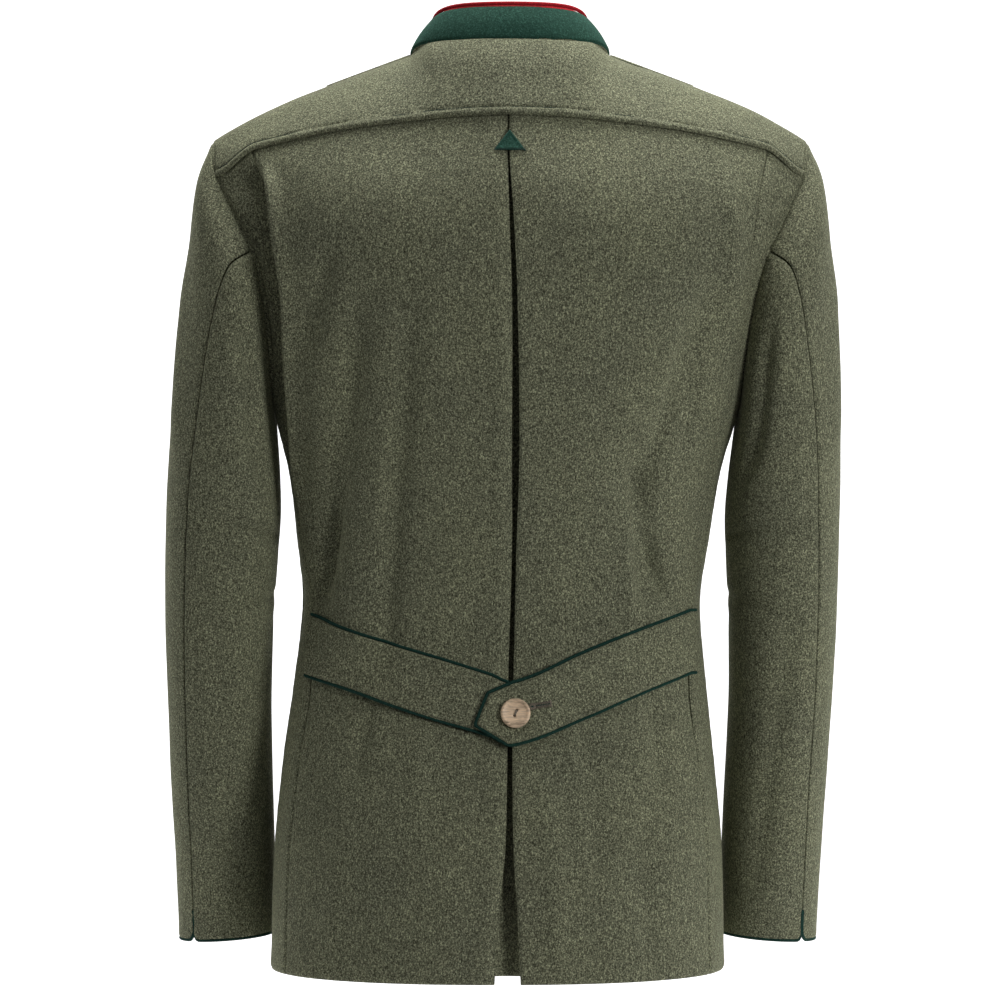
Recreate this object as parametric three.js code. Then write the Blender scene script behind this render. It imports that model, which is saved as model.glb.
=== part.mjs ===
// A Tyrolean loden jacket, filled out as when it is worn, with nobody in it.
// Millimetres, +Z up. The front faces -Y, the wearer's left is +X, and the origin is the middle
// of the neck opening, level with the seam of the collar at the back.
import * as THREE from "three";

// Driving sizes
const CLOTH = 2; // thickness of the milled loden
const SEAM = 0.3; // gap between two pieces that are sewn together
const SEAM_SHARP = 3; // gap where they meet at an angle, at the armholes
const HEM = -735; // the lower edge of the body
const UNDERARM = -290;
const NECK = { half: 80, back: 60, sideDrop: 8, frontDrop: 75 };
const COLLAR = { half: 64, back: 50, front: 73, top: 26, sideTop: 14, frontTop: -44, cloth: 1.6 };
const SHOULDER = { slope: 0.37, length: 158, roll: 10.5, rounding: 150 };
const ROUNDNESS = 2.3; // exponent of the torso's sections: 2 is an ellipse
const YOKE = { middle: -64, fall: 22, at: 200, end: 232, drop: 14, lift: 3.2 };
const PLEAT_DEPTH = 26; // how far the underlay reaches behind each folded edge
const BELT_CLOTH = 3; // two layers of cloth
const PIPING = 2.4;
const BUTTON = { radius: 11.6, thick: 3.6, bevel: 1, hole: 1.1, holes: 4.4, turned: 73 };
const FRONT_BUTTONS = { count: 5, first: -120, step: 88 };
const LAP = 20; // how far the left front reaches past the middle
const FAN_FROM = 0.62; // the share of a panel's rows that lie below the underarm
const PANEL_WIDTH = { back: 200, side: 26, front: 260 }; // about how wide the panels are
const SLEEVE_LENGTH = 600; // about how long a sleeve is
const SLEEVE_ROUND = 240; // about how far it is round a sleeve

const COLOURS = {
  loden: 0x4e5042,
  dark: 0x464838,
  felt: 0x36524a,
  red: 0xa01c24,
  piping: 0x1d3f36,
  wood: 0xc0a48b,
};

// The torso from the hem up: half width, depth behind and before the middle, how far the section
// stands to the wearer's left, and where the side-back seam runs as a share of the half width.
const SECTIONS = [
  { z: -735, half: 181, back: 134, front: 140, sway: 10, seam: 0.92 },
  { z: -640, half: 178.5, back: 127, front: 138, sway: 9.5, seam: 0.92 },
  { z: -571, half: 172, back: 112, front: 133, sway: 9, seam: 0.915 },
  { z: -507, half: 164.5, back: 98, front: 128, sway: 8, seam: 0.912 },
  { z: -443, half: 159, back: 91, front: 126, sway: 7, seam: 0.955 },
  { z: -395, half: 164.5, back: 97, front: 128, sway: 6, seam: 0.975 },
  { z: -340, half: 172.5, back: 108, front: 131, sway: 4.5, seam: 0.972 },
  { z: -290, half: 186, back: 117, front: 133, sway: 3, seam: 0.935 },
  { z: -240, half: 197, back: 122, front: 132, sway: 2, seam: 0.905 },
  { z: -200, half: 208, back: 124, front: 128, sway: 1, seam: 0.872 },
  { z: -160, half: 226, back: 121, front: 120, sway: 0, seam: 0.84 },
  { z: -120, half: 244, back: 114, front: 104, sway: 0, seam: 0.805 },
  { z: -80, half: 256, back: 104, front: 88, sway: 0, seam: 0.8 },
  { z: -20, half: 262, back: 98, front: 74, sway: 0, seam: 0.8 },
];

// How far out the armhole runs on the back and on the front, from the underarm to the shoulder.
const ARMHOLE = [
  { z: -290, back: 186, front: 186 },
  { z: -265, back: 187, front: 184.5 },
  { z: -240, back: 189, front: 184 },
  { z: -200, back: 194.5, front: 187 },
  { z: -174, back: 201, front: 194 },
  { z: -156, back: 209, front: 201 },
  { z: -134, back: 220, front: 212 },
  { z: -106, back: 233, front: 228 },
  { z: -92, back: 237, front: 235 },
  { z: -77, back: 238, front: 238 },
];

// Rings of a sleeve from the armhole to the hem: its outer and inner point, the middle's y and
// the half depth.
const SLEEVE = [
  { at: 0, outX: 238, outZ: -77, inX: 186, inZ: -290, y: 0, deep: 58 },
  { at: 0.07, outX: 250, outZ: -108, inX: 184, inZ: -302, y: 2, deep: 66 },
  { at: 0.15, outX: 256, outZ: -158, inX: 181.5, inZ: -322, y: 2, deep: 68 },
  { at: 0.25, outX: 261, outZ: -215, inX: 179, inZ: -346, y: 1, deep: 65 },
  { at: 0.36, outX: 266, outZ: -275, inX: 177.5, inZ: -376, y: 0, deep: 61 },
  { at: 0.47, outX: 269, outZ: -340, inX: 179, inZ: -412, y: -2, deep: 57 },
  { at: 0.58, outX: 269.5, outZ: -420, inX: 182, inZ: -458, y: -6, deep: 54 },
  { at: 0.69, outX: 268, outZ: -500, inX: 183.5, inZ: -516, y: -14, deep: 52 },
  { at: 0.8, outX: 264.5, outZ: -580, inX: 182.5, inZ: -585, y: -26, deep: 50 },
  { at: 0.9, outX: 261, outZ: -655, inX: 180.5, inZ: -652, y: -40, deep: 48 },
  { at: 1, outX: 258.5, outZ: -718, inX: 181, inZ: -713, y: -52, deep: 46 },
];

// Where the two seams of a sleeve run, in turns from its outer point towards the back.
const SLEEVE_SEAMS = [
  { at: 0, back: 0.225, front: -0.3 },
  { at: 0.15, back: 0.19, front: -0.31 },
  { at: 0.45, back: 0.158, front: -0.32 },
  { at: 0.7, back: 0.15, front: -0.32 },
  { at: 1, back: 0.142, front: -0.31 },
];

// The two folded edges of the pleat in the middle of the back, which part above and below the belt.
const PLEAT = [
  { z: -740, left: 12.3, right: -7.9 },
  { z: -686, left: 9.2, right: -5.4 },
  { z: -632, left: 3.8, right: -2.3 },
  { z: -552, left: 1.4, right: -0.9 },
  { z: -500, left: 0.8, right: -1 },
  { z: -402, left: -1.5, right: -4.6 },
  { z: -325, left: -1.5, right: -6.9 },
  { z: -209, left: -1.5, right: -5.4 },
  { z: -140, left: 0.6, right: -2.3 },
  { z: -94, left: 1.8, right: 0.8 },
  { z: -60, left: 1.8, right: 0.8 },
];

// The largest folds of the back: a trough from one point to another, and its width and depth.
const FOLDS = [
  { x0: 118, z0: -232, x1: 144, z1: -452, wide: 20, deep: 4 },
  { x0: 77, z0: -240, x1: 90, z1: -470, wide: 17, deep: 2.6 },
  { x0: 142, z0: -170, x1: 156, z1: -235, wide: 16, deep: 2.4 },
  { x0: -158, z0: -209, x1: -104, z1: -345, wide: 20, deep: 3.2 },
  { x0: -104, z0: -345, x1: -114, z1: -430, wide: 17, deep: 3 },
];

// The edges of the half-belt, from its left end to its right end.
const BELT = [
  { x: 166, top: -452, bottom: -498 },
  { x: 122, top: -467, bottom: -511 },
  { x: 93, top: -476, bottom: -521 },
  { x: 58, top: -486, bottom: -532 },
  { x: 16, top: -499, bottom: -544 },
  { x: -2, top: -505, bottom: -551 },
  { x: -60, top: -481, bottom: -530 },
  { x: -93, top: -468, bottom: -516 },
  { x: -140, top: -451, bottom: -498 },
];
const TAB = { upper: [16.6, -513], lower: [26, -536.5], point: [2, -551] };
const BELT_BUTTON = { x: -3.8, z: -528 };

const { abs, atan2, cos, hypot, max, min, PI, sign, sin, sqrt } = Math;
const mix = (a, b, t) => a + (b - a) * t;
const ease = (t) => {
  const k = min(max(t, 0), 1);
  return k * k * (3 - 2 * k);
};

// A smooth curve through one column of a table, along the column named key.
function along(rows, key, column) {
  const slope = rows.map((row, i) => {
    const a = rows[max(i - 1, 0)];
    const b = rows[min(i + 1, rows.length - 1)];
    return (b[column] - a[column]) / (b[key] - a[key]);
  });
  return (place) => {
    const ahead = rows.findIndex((row) => row[key] > place);
    const i = ahead < 0 ? rows.length - 2 : max(ahead - 1, 0);
    const span = rows[i + 1][key] - rows[i][key];
    const t = min(max((place - rows[i][key]) / span, 0), 1);
    const s = t * t * (3 - 2 * t);
    const bend = t * (1 - t) * span;
    return (
      mix(rows[i][column], rows[i + 1][column], s) +
      bend * ((1 - t) * slope[i] - t * slope[i + 1])
    );
  };
}

const torso = Object.fromEntries(
  ["half", "back", "front", "sway", "seam"].map((c) => [c, along(SECTIONS, "z", c)]),
);
const armhole = { back: along(ARMHOLE, "z", "back"), front: along(ARMHOLE, "z", "front") };
const sleeve = Object.fromEntries(
  ["outX", "outZ", "inX", "inZ", "y", "deep"].map((c) => [c, along(SLEEVE, "at", c)]),
);
const sleeveSeam = { back: along(SLEEVE_SEAMS, "at", "back"), front: along(SLEEVE_SEAMS, "at", "front") };
const pleat = { left: along(PLEAT, "z", "left"), right: along(PLEAT, "z", "right") };

// Height of the shoulder's ridge over a point x away from the middle.
function shoulderLine(x) {
  const d = abs(x) - NECK.half;
  return -NECK.sideDrop - SHOULDER.slope * d - SHOULDER.roll * (max(d, 0) / SHOULDER.length) ** 5;
}

// How full the torso is below the ridge: 0 on the ridge, 1 once the shoulder has rounded over.
function fullness(x, z) {
  const t = min(max((shoulderLine(x) - z) / SHOULDER.rounding, 0), 1);
  return sqrt(1 - (1 - t) ** 2);
}

// How deep the folds of the back are pressed in at a place.
function foldDepth(x, z) {
  let deep = 0;
  for (const f of FOLDS) {
    const dx = f.x1 - f.x0;
    const dz = f.z1 - f.z0;
    const length = dx * dx + dz * dz;
    const t = min(max(((x - f.x0) * dx + (z - f.z0) * dz) / length, -0.25), 1.25);
    const off = hypot(x - f.x0 - t * dx, z - f.z0 - t * dz) / f.wide;
    const fade = ease((t + 0.25) / 0.4) * ease((1.25 - t) / 0.4);
    deep += f.deep * fade * Math.exp(-off * off);
  }
  return deep;
}

// A point of the torso at an angle from the middle of the back (0) over the side (PI/2) to the
// middle of the front (PI). A negative angle lies on the wearer's right.
function torsoPoint(angle, z, lift = 0) {
  const half = torso.half(z);
  const s = sin(angle);
  const c = cos(angle);
  const r = (abs(s) ** ROUNDNESS + abs(c) ** ROUNDNESS) ** (-1 / ROUNDNESS);
  const x = half * r * s;
  const depth = (c > 0 ? torso.back(z) : torso.front(z)) * fullness(x, z);
  const y = depth * r * c;
  const out = new THREE.Vector3(
    sign(s) * abs(r * s) ** (ROUNDNESS - 1) / half,
    sign(c) * abs(r * c) ** (ROUNDNESS - 1) / max(depth, 20),
    0,
  ).normalize();
  const fold = c > 0 ? foldDepth(x, z) : 0;
  return new THREE.Vector3(x + torso.sway(z), y, z).addScaledVector(out, lift - fold);
}

// The angle at which the torso is x away from the section's middle.
function angleAt(x, z, front = false) {
  const m = min(abs(x) / torso.half(z), 1);
  const c = (1 - m ** ROUNDNESS) ** (1 / ROUNDNESS);
  const angle = atan2(m, front ? -c : c);
  return sign(x) * angle;
}

const yokeSeam = (x) =>
  YOKE.middle -
  YOKE.fall * (abs(x) / YOKE.at) ** 2 -
  YOKE.drop * ease((abs(x) - YOKE.at) / (YOKE.end - YOKE.at));

// The edge where the torso ends at the side: the side seam, and above it the armhole.
function outerAngle(z, front) {
  if (z <= UNDERARM) return PI / 2;
  return angleAt(front ? armhole.front(z) : armhole.back(z), z, front);
}

// The neck's seam and the collar's top, at a turn from the middle of the back (0) to the front (PI).
function neckPoint(turn) {
  const x = NECK.half * sin(turn);
  const k = Math.log(NECK.sideDrop / NECK.frontDrop) / Math.log(0.5);
  const z = -NECK.frontDrop * ((1 - cos(turn)) / 2) ** k;
  if (abs(turn) <= PI / 2) return new THREE.Vector3(x, NECK.back * cos(turn), z);
  const p = torsoPoint(angleAt(x, z, true), z);
  return new THREE.Vector3(x, p.y, z);
}

function collarTop(turn) {
  const fall = COLLAR.top - COLLAR.frontTop;
  const k = Math.log((COLLAR.top - COLLAR.sideTop) / fall) / Math.log(0.5);
  const deep = cos(turn) > 0 ? COLLAR.back : COLLAR.front;
  const z = COLLAR.top - fall * ((1 - cos(turn)) / 2) ** k;
  return new THREE.Vector3(COLLAR.half * sin(turn), deep * cos(turn), z);
}

// A closed solid on a grid: surface(u, v) gives the outer face for u and v from 0 to 1, core(p)
// a point on its inner side, and the cloth goes inwards from the face by its thickness.
function shell(name, colour, { surface, core, columns, rows, thick = CLOTH, closed = false }) {
  const step = 1e-3;
  const across = closed ? columns : columns + 1;
  const outer = [];
  const inner = [];
  let outward = 0;
  for (let j = 0; j <= rows; j += 1) {
    for (let i = 0; i < across; i += 1) {
      const u = i / columns;
      const v = j / rows;
      const p = surface(u, v);
      const du = surface(closed ? u + step : min(u + step, 1), v).sub(
        surface(closed ? u - step : max(u - step, 0), v),
      );
      const dv = surface(u, min(v + step, 1)).sub(surface(u, max(v - step, 0)));
      const n = du.cross(dv).normalize();
      outward ||= sign(n.dot(p.clone().sub(core(p))));
      outer.push(p);
      inner.push(p.clone().addScaledVector(n, -outward * thick));
    }
  }
  const positions = [...outer, ...inner].flatMap((p) => [p.x, p.y, p.z]);
  const layer = outer.length;
  const id = (i, j, l) => l * layer + j * across + (i % across);
  const index = [];
  const quad = (a, b, c, d) => {
    if (outward > 0) index.push(a, b, c, a, c, d);
    else index.push(a, c, b, a, d, c);
  };
  for (let j = 0; j < rows; j += 1) {
    for (let i = 0; i < columns; i += 1) {
      quad(id(i, j, 0), id(i + 1, j, 0), id(i + 1, j + 1, 0), id(i, j + 1, 0));
      quad(id(i, j, 1), id(i, j + 1, 1), id(i + 1, j + 1, 1), id(i + 1, j, 1));
    }
  }
  for (let i = 0; i < columns; i += 1) {
    quad(id(i, 0, 0), id(i, 0, 1), id(i + 1, 0, 1), id(i + 1, 0, 0));
    quad(id(i, rows, 0), id(i + 1, rows, 0), id(i + 1, rows, 1), id(i, rows, 1));
  }
  if (!closed) {
    for (let j = 0; j < rows; j += 1) {
      quad(id(0, j, 0), id(0, j + 1, 0), id(0, j + 1, 1), id(0, j, 1));
      quad(id(columns, j, 0), id(columns, j, 1), id(columns, j + 1, 1), id(columns, j + 1, 0));
    }
  }
  const geometry = new THREE.BufferGeometry();
  geometry.setAttribute("position", new THREE.Float32BufferAttribute(positions, 3));
  geometry.setIndex(index);
  geometry.computeVertexNormals();
  return mesh(name, geometry, colour);
}

function mesh(name, geometry, colour, roughness = 0.95) {
  const made = new THREE.Mesh(
    geometry,
    new THREE.MeshStandardMaterial({ color: colour, roughness, metalness: 0 }),
  );
  made.name = name;
  return made;
}

const axisOf = (p) => new THREE.Vector3(0, 0, p.z - 60);
const inset = (t, gap, length) => mix(gap / length, 1 - gap / length, t);

// A height on a panel of the torso: rows run level from the hem to the underarm, then fan out to
// the panel's top edge.
function panelHeight(t, top) {
  const split = FAN_FROM;
  if (t < split) return mix(HEM, UNDERARM, t / split);
  const k = (t - split) / (1 - split);
  return mix(UNDERARM, top, 1 - (1 - k) ** 1.5);
}

// How high a column of the back reaches, just under the yoke, whose seam falls away from the middle.
function topUnderYoke(angle) {
  let z = YOKE.middle;
  for (let i = 0; i < 3; i += 1) z = yokeSeam(torsoPoint(angle(z), z).x);
  return z - 2.5 * SEAM;
}

// Half of the back: from the folded edge of the pleat to the side-back seam, up to the yoke.
function backPanel(side, name) {
  const edge = side > 0 ? pleat.left : pleat.right;
  const angle = (s, z) =>
    mix(angleAt(edge(z) - torso.sway(z), z), side * angleAt(torso.seam(z) * torso.half(z), z), s);
  const surface = (u, v) => {
    const s = inset(u, SEAM / 2, PANEL_WIDTH.back);
    const z = panelHeight(v, topUnderYoke((level) => angle(s, level)));
    return torsoPoint(angle(s, z), z);
  };
  return shell(name, COLOURS.loden, { surface, core: axisOf, columns: 9, rows: 20 });
}

// From the side-back seam to the side seam, and above the underarm to the armhole.
function sidePanel(side, name) {
  const angle = (s, z) =>
    side * mix(angleAt(torso.seam(z) * torso.half(z), z), outerAngle(z, false), s);
  const surface = (u, v) => {
    const s = inset(u, SEAM / 2, PANEL_WIDTH.side);
    const z = panelHeight(v, topUnderYoke((level) => angle(s, level)));
    return torsoPoint(angle(s, z), z);
  };
  return shell(name, COLOURS.dark, { surface, core: axisOf, columns: 3, rows: 20 });
}

// The cloth that joins the two folded edges behind the pleat.
function pleatUnderlay() {
  const surface = (u, v) => {
    const z = mix(HEM + 6, YOKE.middle - 4, v);
    const x = mix(pleat.left(z) + PLEAT_DEPTH, pleat.right(z) - PLEAT_DEPTH, u) - torso.sway(z);
    return torsoPoint(angleAt(x, z), z, -CLOTH - 1);
  };
  return shell("pleat_underlay", COLOURS.dark, { surface, core: axisOf, columns: 4, rows: 18 });
}

// The yoke over both shoulders, from its seam on the back to the ridge of the shoulders.
function yoke() {
  const neckShare = 0.4;
  const seamEnd = armhole.back(-105);
  const surface = (u, v) => {
    const across = mix(-1, 1, inset(u, SEAM / 2, 2 * seamEnd));
    const share = abs(across);
    const beyond = (share - neckShare) / (1 - neckShare);
    const onNeck = share < neckShare;
    const seamX = onNeck ? (88 * share) / neckShare : mix(88, seamEnd, beyond);
    const seamZ = yokeSeam(seamX) + 2 * SEAM;
    const lift = mix(YOKE.lift, 1, ease((share - 0.9) / 0.1)) * (1 - ease(v * 2));
    const turn = min(share / neckShare, 1) * (PI / 2);
    const topX = onNeck ? NECK.half * sin(turn) : mix(NECK.half, armhole.back(-77), beyond);
    // over the shoulder the yoke follows the torso
    const z = mix(seamZ, shoulderLine(topX), 1 - (1 - v) ** 1.7);
    const x = mix(seamX, topX, v);
    const over = torsoPoint(angleAt(x, z), z, lift);
    over.x *= sign(across) || 1;
    over.y += SEAM / 2;
    if (share >= neckShare) return over;
    // behind the neck it rises to the collar's seam
    const from = torsoPoint(angleAt(seamX, seamZ), seamZ, lift);
    const to = neckPoint(turn);
    const reach = from.distanceTo(to);
    const up = new THREE.Vector3(0, -0.25, 1).normalize().multiplyScalar(reach);
    const end = new THREE.Vector3(0, -1, mix(1.1, 0.05, turn / (PI / 2))).normalize().multiplyScalar(reach);
    const h = (a, b, c, d) =>
      a * (1 + v * v * (2 * v - 3)) + b * v * v * (3 - 2 * v) + c * v * (1 - v) ** 2 - d * v * v * (1 - v);
    const behind = new THREE.Vector3(
      h(from.x, to.x, up.x, end.x),
      h(from.y, to.y, up.y, end.y),
      h(from.z, to.z, up.z, end.z),
    );
    behind.x *= sign(across) || 1;
    return behind.lerp(over, ease((share - neckShare * 0.55) / (neckShare * 0.45)));
  };
  return shell("yoke", COLOURS.loden, { surface, core: axisOf, columns: 26, rows: 4 });
}

// A front, from the middle to the side seam and the armhole. The left one laps over the right.
function frontPanel(side, name) {
  const neckShare = 0.5;
  const edge = side > 0 ? -LAP : LAP - 4;
  const surface = (u, v) => {
    const s = inset(u, SEAM / 2, PANEL_WIDTH.front);
    const k = min(s / neckShare, 1);
    const beyond = max(s - neckShare, 0) / (1 - neckShare);
    const neckX = mix(side * edge, NECK.half, sin((k * PI) / 2));
    const topX = s < neckShare ? neckX : mix(NECK.half, armhole.front(-77), beyond);
    const neckZ = neckPoint(PI - Math.asin(min(abs(topX) / NECK.half, 1))).z;
    const top = s < neckShare ? neckZ - 2 * SEAM * (1 - k) : shoulderLine(topX);
    const z = panelHeight(v, top);
    const middle = angleAt(edge - torso.sway(z), z, true);
    const centre = side * middle < 0 ? middle + side * 2 * PI : middle;
    const level = mix(centre, side * outerAngle(z, true), s);
    const across = s < neckShare ? neckX : mix(NECK.half, armhole.front(z), beyond);
    const shoulder = side * angleAt(across, z, true);
    const wrapped = side * shoulder < 0 ? shoulder + side * 2 * PI : shoulder;
    const angle = mix(level, wrapped, ease((v - FAN_FROM) / (1 - FAN_FROM)));
    const under = side < 0 ? -(CLOTH + 4 * SEAM) * ease((0.4 - s) / 0.16) : 0;
    const p = torsoPoint(angle, z, under);
    p.y -= SEAM / 2;
    return p;
  };
  return shell(name, COLOURS.loden, { surface, core: axisOf, columns: 10, rows: 18 });
}

function collarWall(name, colour, { into, rise, thick }) {
  const opening = 0.05;
  const surface = (u, v) => {
    const turn = mix(-PI + opening, PI - opening, u);
    const foot = neckPoint(turn);
    foot.z += 5 * SEAM;
    const height = v * (1 + rise / COLLAR.top);
    const p = foot.lerp(collarTop(turn), height);
    const swell = COLLAR.cloth * sin(PI * min(height, 1)) - into;
    const grow = 1 + swell / hypot(p.x, p.y);
    return new THREE.Vector3(p.x * grow, p.y * grow, p.z);
  };
  return shell(name, colour, { surface, core: axisOf, columns: 26, rows: 2, thick });
}

// A point of a sleeve: at runs from the armhole (0) to the hem (1), turn from the outer point
// towards the back, in whole turns.
function sleevePoint(side, at, turn) {
  const c = cos(turn * 2 * PI);
  const s = sin(turn * 2 * PI);
  const level = (1 - c) / 2;
  const z = mix(sleeve.outZ(at), sleeve.inZ(at), level);
  const p = new THREE.Vector3(
    mix(sleeve.outX(at), sleeve.inX(at), level),
    sleeve.y(at) + sleeve.deep(at) * s,
    z,
  );
  const fade = max(1 - at / 0.3, 0) ** 2;
  if (fade > 0) {
    const z0 = mix(sleeve.outZ(0), sleeve.inZ(0), level);
    const front = s < 0;
    const x0 = front ? armhole.front(z0) : armhole.back(z0);
    const edge = torsoPoint(angleAt(x0, z0, front), z0);
    p.x += fade * (x0 - mix(sleeve.outX(0), sleeve.inX(0), level));
    p.y += fade * (edge.y - sleeve.y(0) - sleeve.deep(0) * s);
  }
  return new THREE.Vector3(side * p.x + torso.sway(z), p.y, z);
}

function sleevePiece(side, name, colour, under, columns) {
  const gap = SEAM / SLEEVE_ROUND;
  const surface = (u, v) => {
    const at = mix(SEAM_SHARP / SLEEVE_LENGTH, 1, v ** 1.25);
    const from = under ? sleeveSeam.back(at) : sleeveSeam.front(at);
    const to = under ? sleeveSeam.front(at) + 1 : sleeveSeam.back(at);
    return sleevePoint(side, at, mix(from + gap, to - gap, u));
  };
  const core = () => new THREE.Vector3(side * 212, 0, -180);
  return shell(name, colour, { surface, core, columns, rows: 14 });
}

function cuffPiping(side, name) {
  const surface = (u, v) => {
    const p = sleevePoint(side, 1, u);
    p.z -= 2 * SEAM + PIPING * v;
    return p;
  };
  const core = () => new THREE.Vector3(side * 218, sleeve.y(1), sleeve.outZ(1));
  return shell(name, COLOURS.piping, { surface, core, columns: 20, rows: 1, closed: true });
}

const onBack = (x, z, lift) => torsoPoint(angleAt(x - torso.sway(z), z), z, lift);
const belt = { top: along(BELT.toReversed(), "x", "top"), bottom: along(BELT.toReversed(), "x", "bottom") };
const beltEnd = (side) => side * 151.5 + 7.3;
const LEFT_END = -14; // where the left strap stops, under the right one
const BELT_GAP = 1; // the belt hangs a little clear of the back
const strapLift = (side, x) =>
  (BELT_CLOTH + BELT_GAP) * (side < 0 ? 1 + ease((x + 50) / 28) : 1) + ease((abs(x) - 120) / 40);

// The tab of the right strap, from its point over its lower corner to its upper one.
function tabEdge(v) {
  const [a, b, k] = v < 0.5 ? [TAB.point, TAB.lower, v * 2] : [TAB.lower, TAB.upper, v * 2 - 1];
  return { x: mix(a[0], b[0], k), z: mix(a[1], b[1], k) };
}

// A place on a strap: u from the side-back seam to its end, v from its lower to its upper edge.
function strapPlace(side, u, v) {
  if (side > 0) {
    const x = mix(beltEnd(1), LEFT_END, u ** 1.15);
    return { x, z: mix(belt.bottom(x), belt.top(x), v) };
  }
  const end = tabEdge(v);
  const x = mix(beltEnd(-1), end.x, u ** 1.15);
  const plain = (at) => mix(belt.bottom(min(at, TAB.point[0])), belt.top(min(at, TAB.point[0])), v);
  return { x, z: plain(x) + (end.z - plain(end.x)) * ease((u - 0.72) / 0.28) };
}

function halfBelt(side, name) {
  const surface = (u, v) => {
    const { x, z } = strapPlace(side, u, v);
    return onBack(x, z, strapLift(side, x));
  };
  return shell(name, COLOURS.loden, { surface, core: axisOf, columns: 13, rows: 4, thick: BELT_CLOTH });
}

// A folded strip along the edge of a strap, over a path of (u, v) places on it.
function beltPiping(side, name, path, columns) {
  const surface = (u, v) => {
    const near = 2e-3;
    const a = strapPlace(side, ...path(max(u - near, 0)));
    const b = strapPlace(side, ...path(min(u + near, 1)));
    const p = strapPlace(side, ...path(u));
    const length = hypot(b.x - a.x, b.z - a.z);
    const out = 2 * SEAM + PIPING * v;
    const x = p.x + ((b.z - a.z) / length) * out * path.out;
    const z = p.z - ((b.x - a.x) / length) * out * path.out;
    return onBack(x, z, strapLift(side, p.x));
  };
  return shell(name, COLOURS.piping, { surface, core: axisOf, columns, rows: 1, thick: BELT_CLOTH });
}

function pipingPaths() {
  const upper = Object.assign((t) => [t, 1], { out: 1 });
  const lower = Object.assign((t) => [t, 0], { out: -1 });
  const tab = Object.assign(
    (t) => {
      if (t < 0.4) return [t / 0.4, 0];
      if (t < 0.6) return [1, (t - 0.4) / 0.2];
      return [1 - (t - 0.6) / 0.4, 1];
    },
    { out: 1 },
  );
  return { upper, lower, tab };
}

function pleatTriangle() {
  const surface = (u, v) => {
    const z = mix(-92, -76, v);
    const x = 0.5 + mix(-1, 1, u) * mix(12.6, 0.5, v);
    return onBack(x, z, 1.9);
  };
  return shell("pleat_triangle", COLOURS.felt, { surface, core: axisOf, columns: 4, rows: 3, thick: 1.5 });
}

// A two-hole button that lies on the cloth at a point, facing along out.
function button(name, point, out) {
  const outline = new THREE.Shape().absarc(0, 0, BUTTON.radius - BUTTON.bevel, 0, 2 * PI);
  for (const end of [-1, 1]) {
    const hole = new THREE.Path().absarc((end * BUTTON.holes) / 2, 0, BUTTON.hole, 0, 2 * PI, true);
    outline.holes.push(hole);
  }
  const geometry = new THREE.ExtrudeGeometry(outline, {
    depth: BUTTON.thick - 2 * BUTTON.bevel,
    bevelThickness: BUTTON.bevel,
    bevelSize: BUTTON.bevel * 0.9,
    bevelSegments: 1,
    curveSegments: 5,
  });
  geometry.translate(0, 0, BUTTON.bevel);
  geometry.rotateZ((BUTTON.turned * PI) / 180);
  const made = mesh(name, geometry, COLOURS.wood, 0.55);
  made.position.copy(point);
  made.quaternion.setFromUnitVectors(new THREE.Vector3(0, 0, 1), out);
  return made;
}

// The outward direction of the torso at an angle and a height.
function torsoNormal(angle, z) {
  const around = torsoPoint(angle + 0.02, z).sub(torsoPoint(angle - 0.02, z));
  const up = torsoPoint(angle, z + 2).sub(torsoPoint(angle, z - 2));
  const n = around.cross(up).normalize();
  return n.dot(torsoPoint(angle, z).sub(new THREE.Vector3(0, 0, z))) > 0 ? n : n.negate();
}

function buttons() {
  const { x, z } = BELT_BUTTON;
  const angle = angleAt(x - torso.sway(z), z);
  const out = torsoNormal(angle, z);
  const made = [button("belt_button", onBack(x, z, strapLift(-1, x)).addScaledVector(out, 0.5), out)];
  for (let i = 0; i < FRONT_BUTTONS.count; i += 1) {
    const height = FRONT_BUTTONS.first - i * FRONT_BUTTONS.step;
    const middle = angleAt(-torso.sway(height) || 1e-3, height, true);
    const face = torsoNormal(middle, height);
    const place = torsoPoint(middle, height).addScaledVector(face, 0.7);
    made.push(button(`front_button_${i + 1}`, place, face));
  }
  return made;
}

const jacket = new THREE.Group();
const paths = pipingPaths();
jacket.add(
  yoke(),
  backPanel(1, "back_left"),
  backPanel(-1, "back_right"),
  pleatUnderlay(),
  sidePanel(1, "side_left"),
  sidePanel(-1, "side_right"),
  frontPanel(1, "front_left"),
  frontPanel(-1, "front_right"),
  collarWall("collar_outer", COLOURS.felt, { into: 0, rise: 0, thick: COLLAR.cloth }),
  collarWall("collar_lining", COLOURS.red, { into: COLLAR.cloth * 2.1, rise: 2.6, thick: COLLAR.cloth }),
  halfBelt(1, "half_belt_left"),
  halfBelt(-1, "half_belt_right"),
  beltPiping(1, "belt_piping_left_upper", paths.upper, 12),
  beltPiping(1, "belt_piping_left_lower", paths.lower, 12),
  beltPiping(-1, "belt_piping_right", paths.tab, 30),
  pleatTriangle(),
  ...buttons(),
);
for (const [side, word] of [[1, "left"], [-1, "right"]]) {
  jacket.add(
    sleevePiece(side, `sleeve_upper_${word}`, COLOURS.loden, false, 10),
    sleevePiece(side, `sleeve_under_${word}`, COLOURS.dark, true, 8),
    cuffPiping(side, `cuff_piping_${word}`),
  );
}

export default jacket;
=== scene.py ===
"""A Tyrolean loden jacket, filled out as when it is worn, with nobody in it.

The pieces are modelled as cloth on the same sections as the CAD solids they stand for, with
their seams, folds, pipings and stitches. Tables are in millimetres; meshes are in metres.
"""
import math

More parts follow.
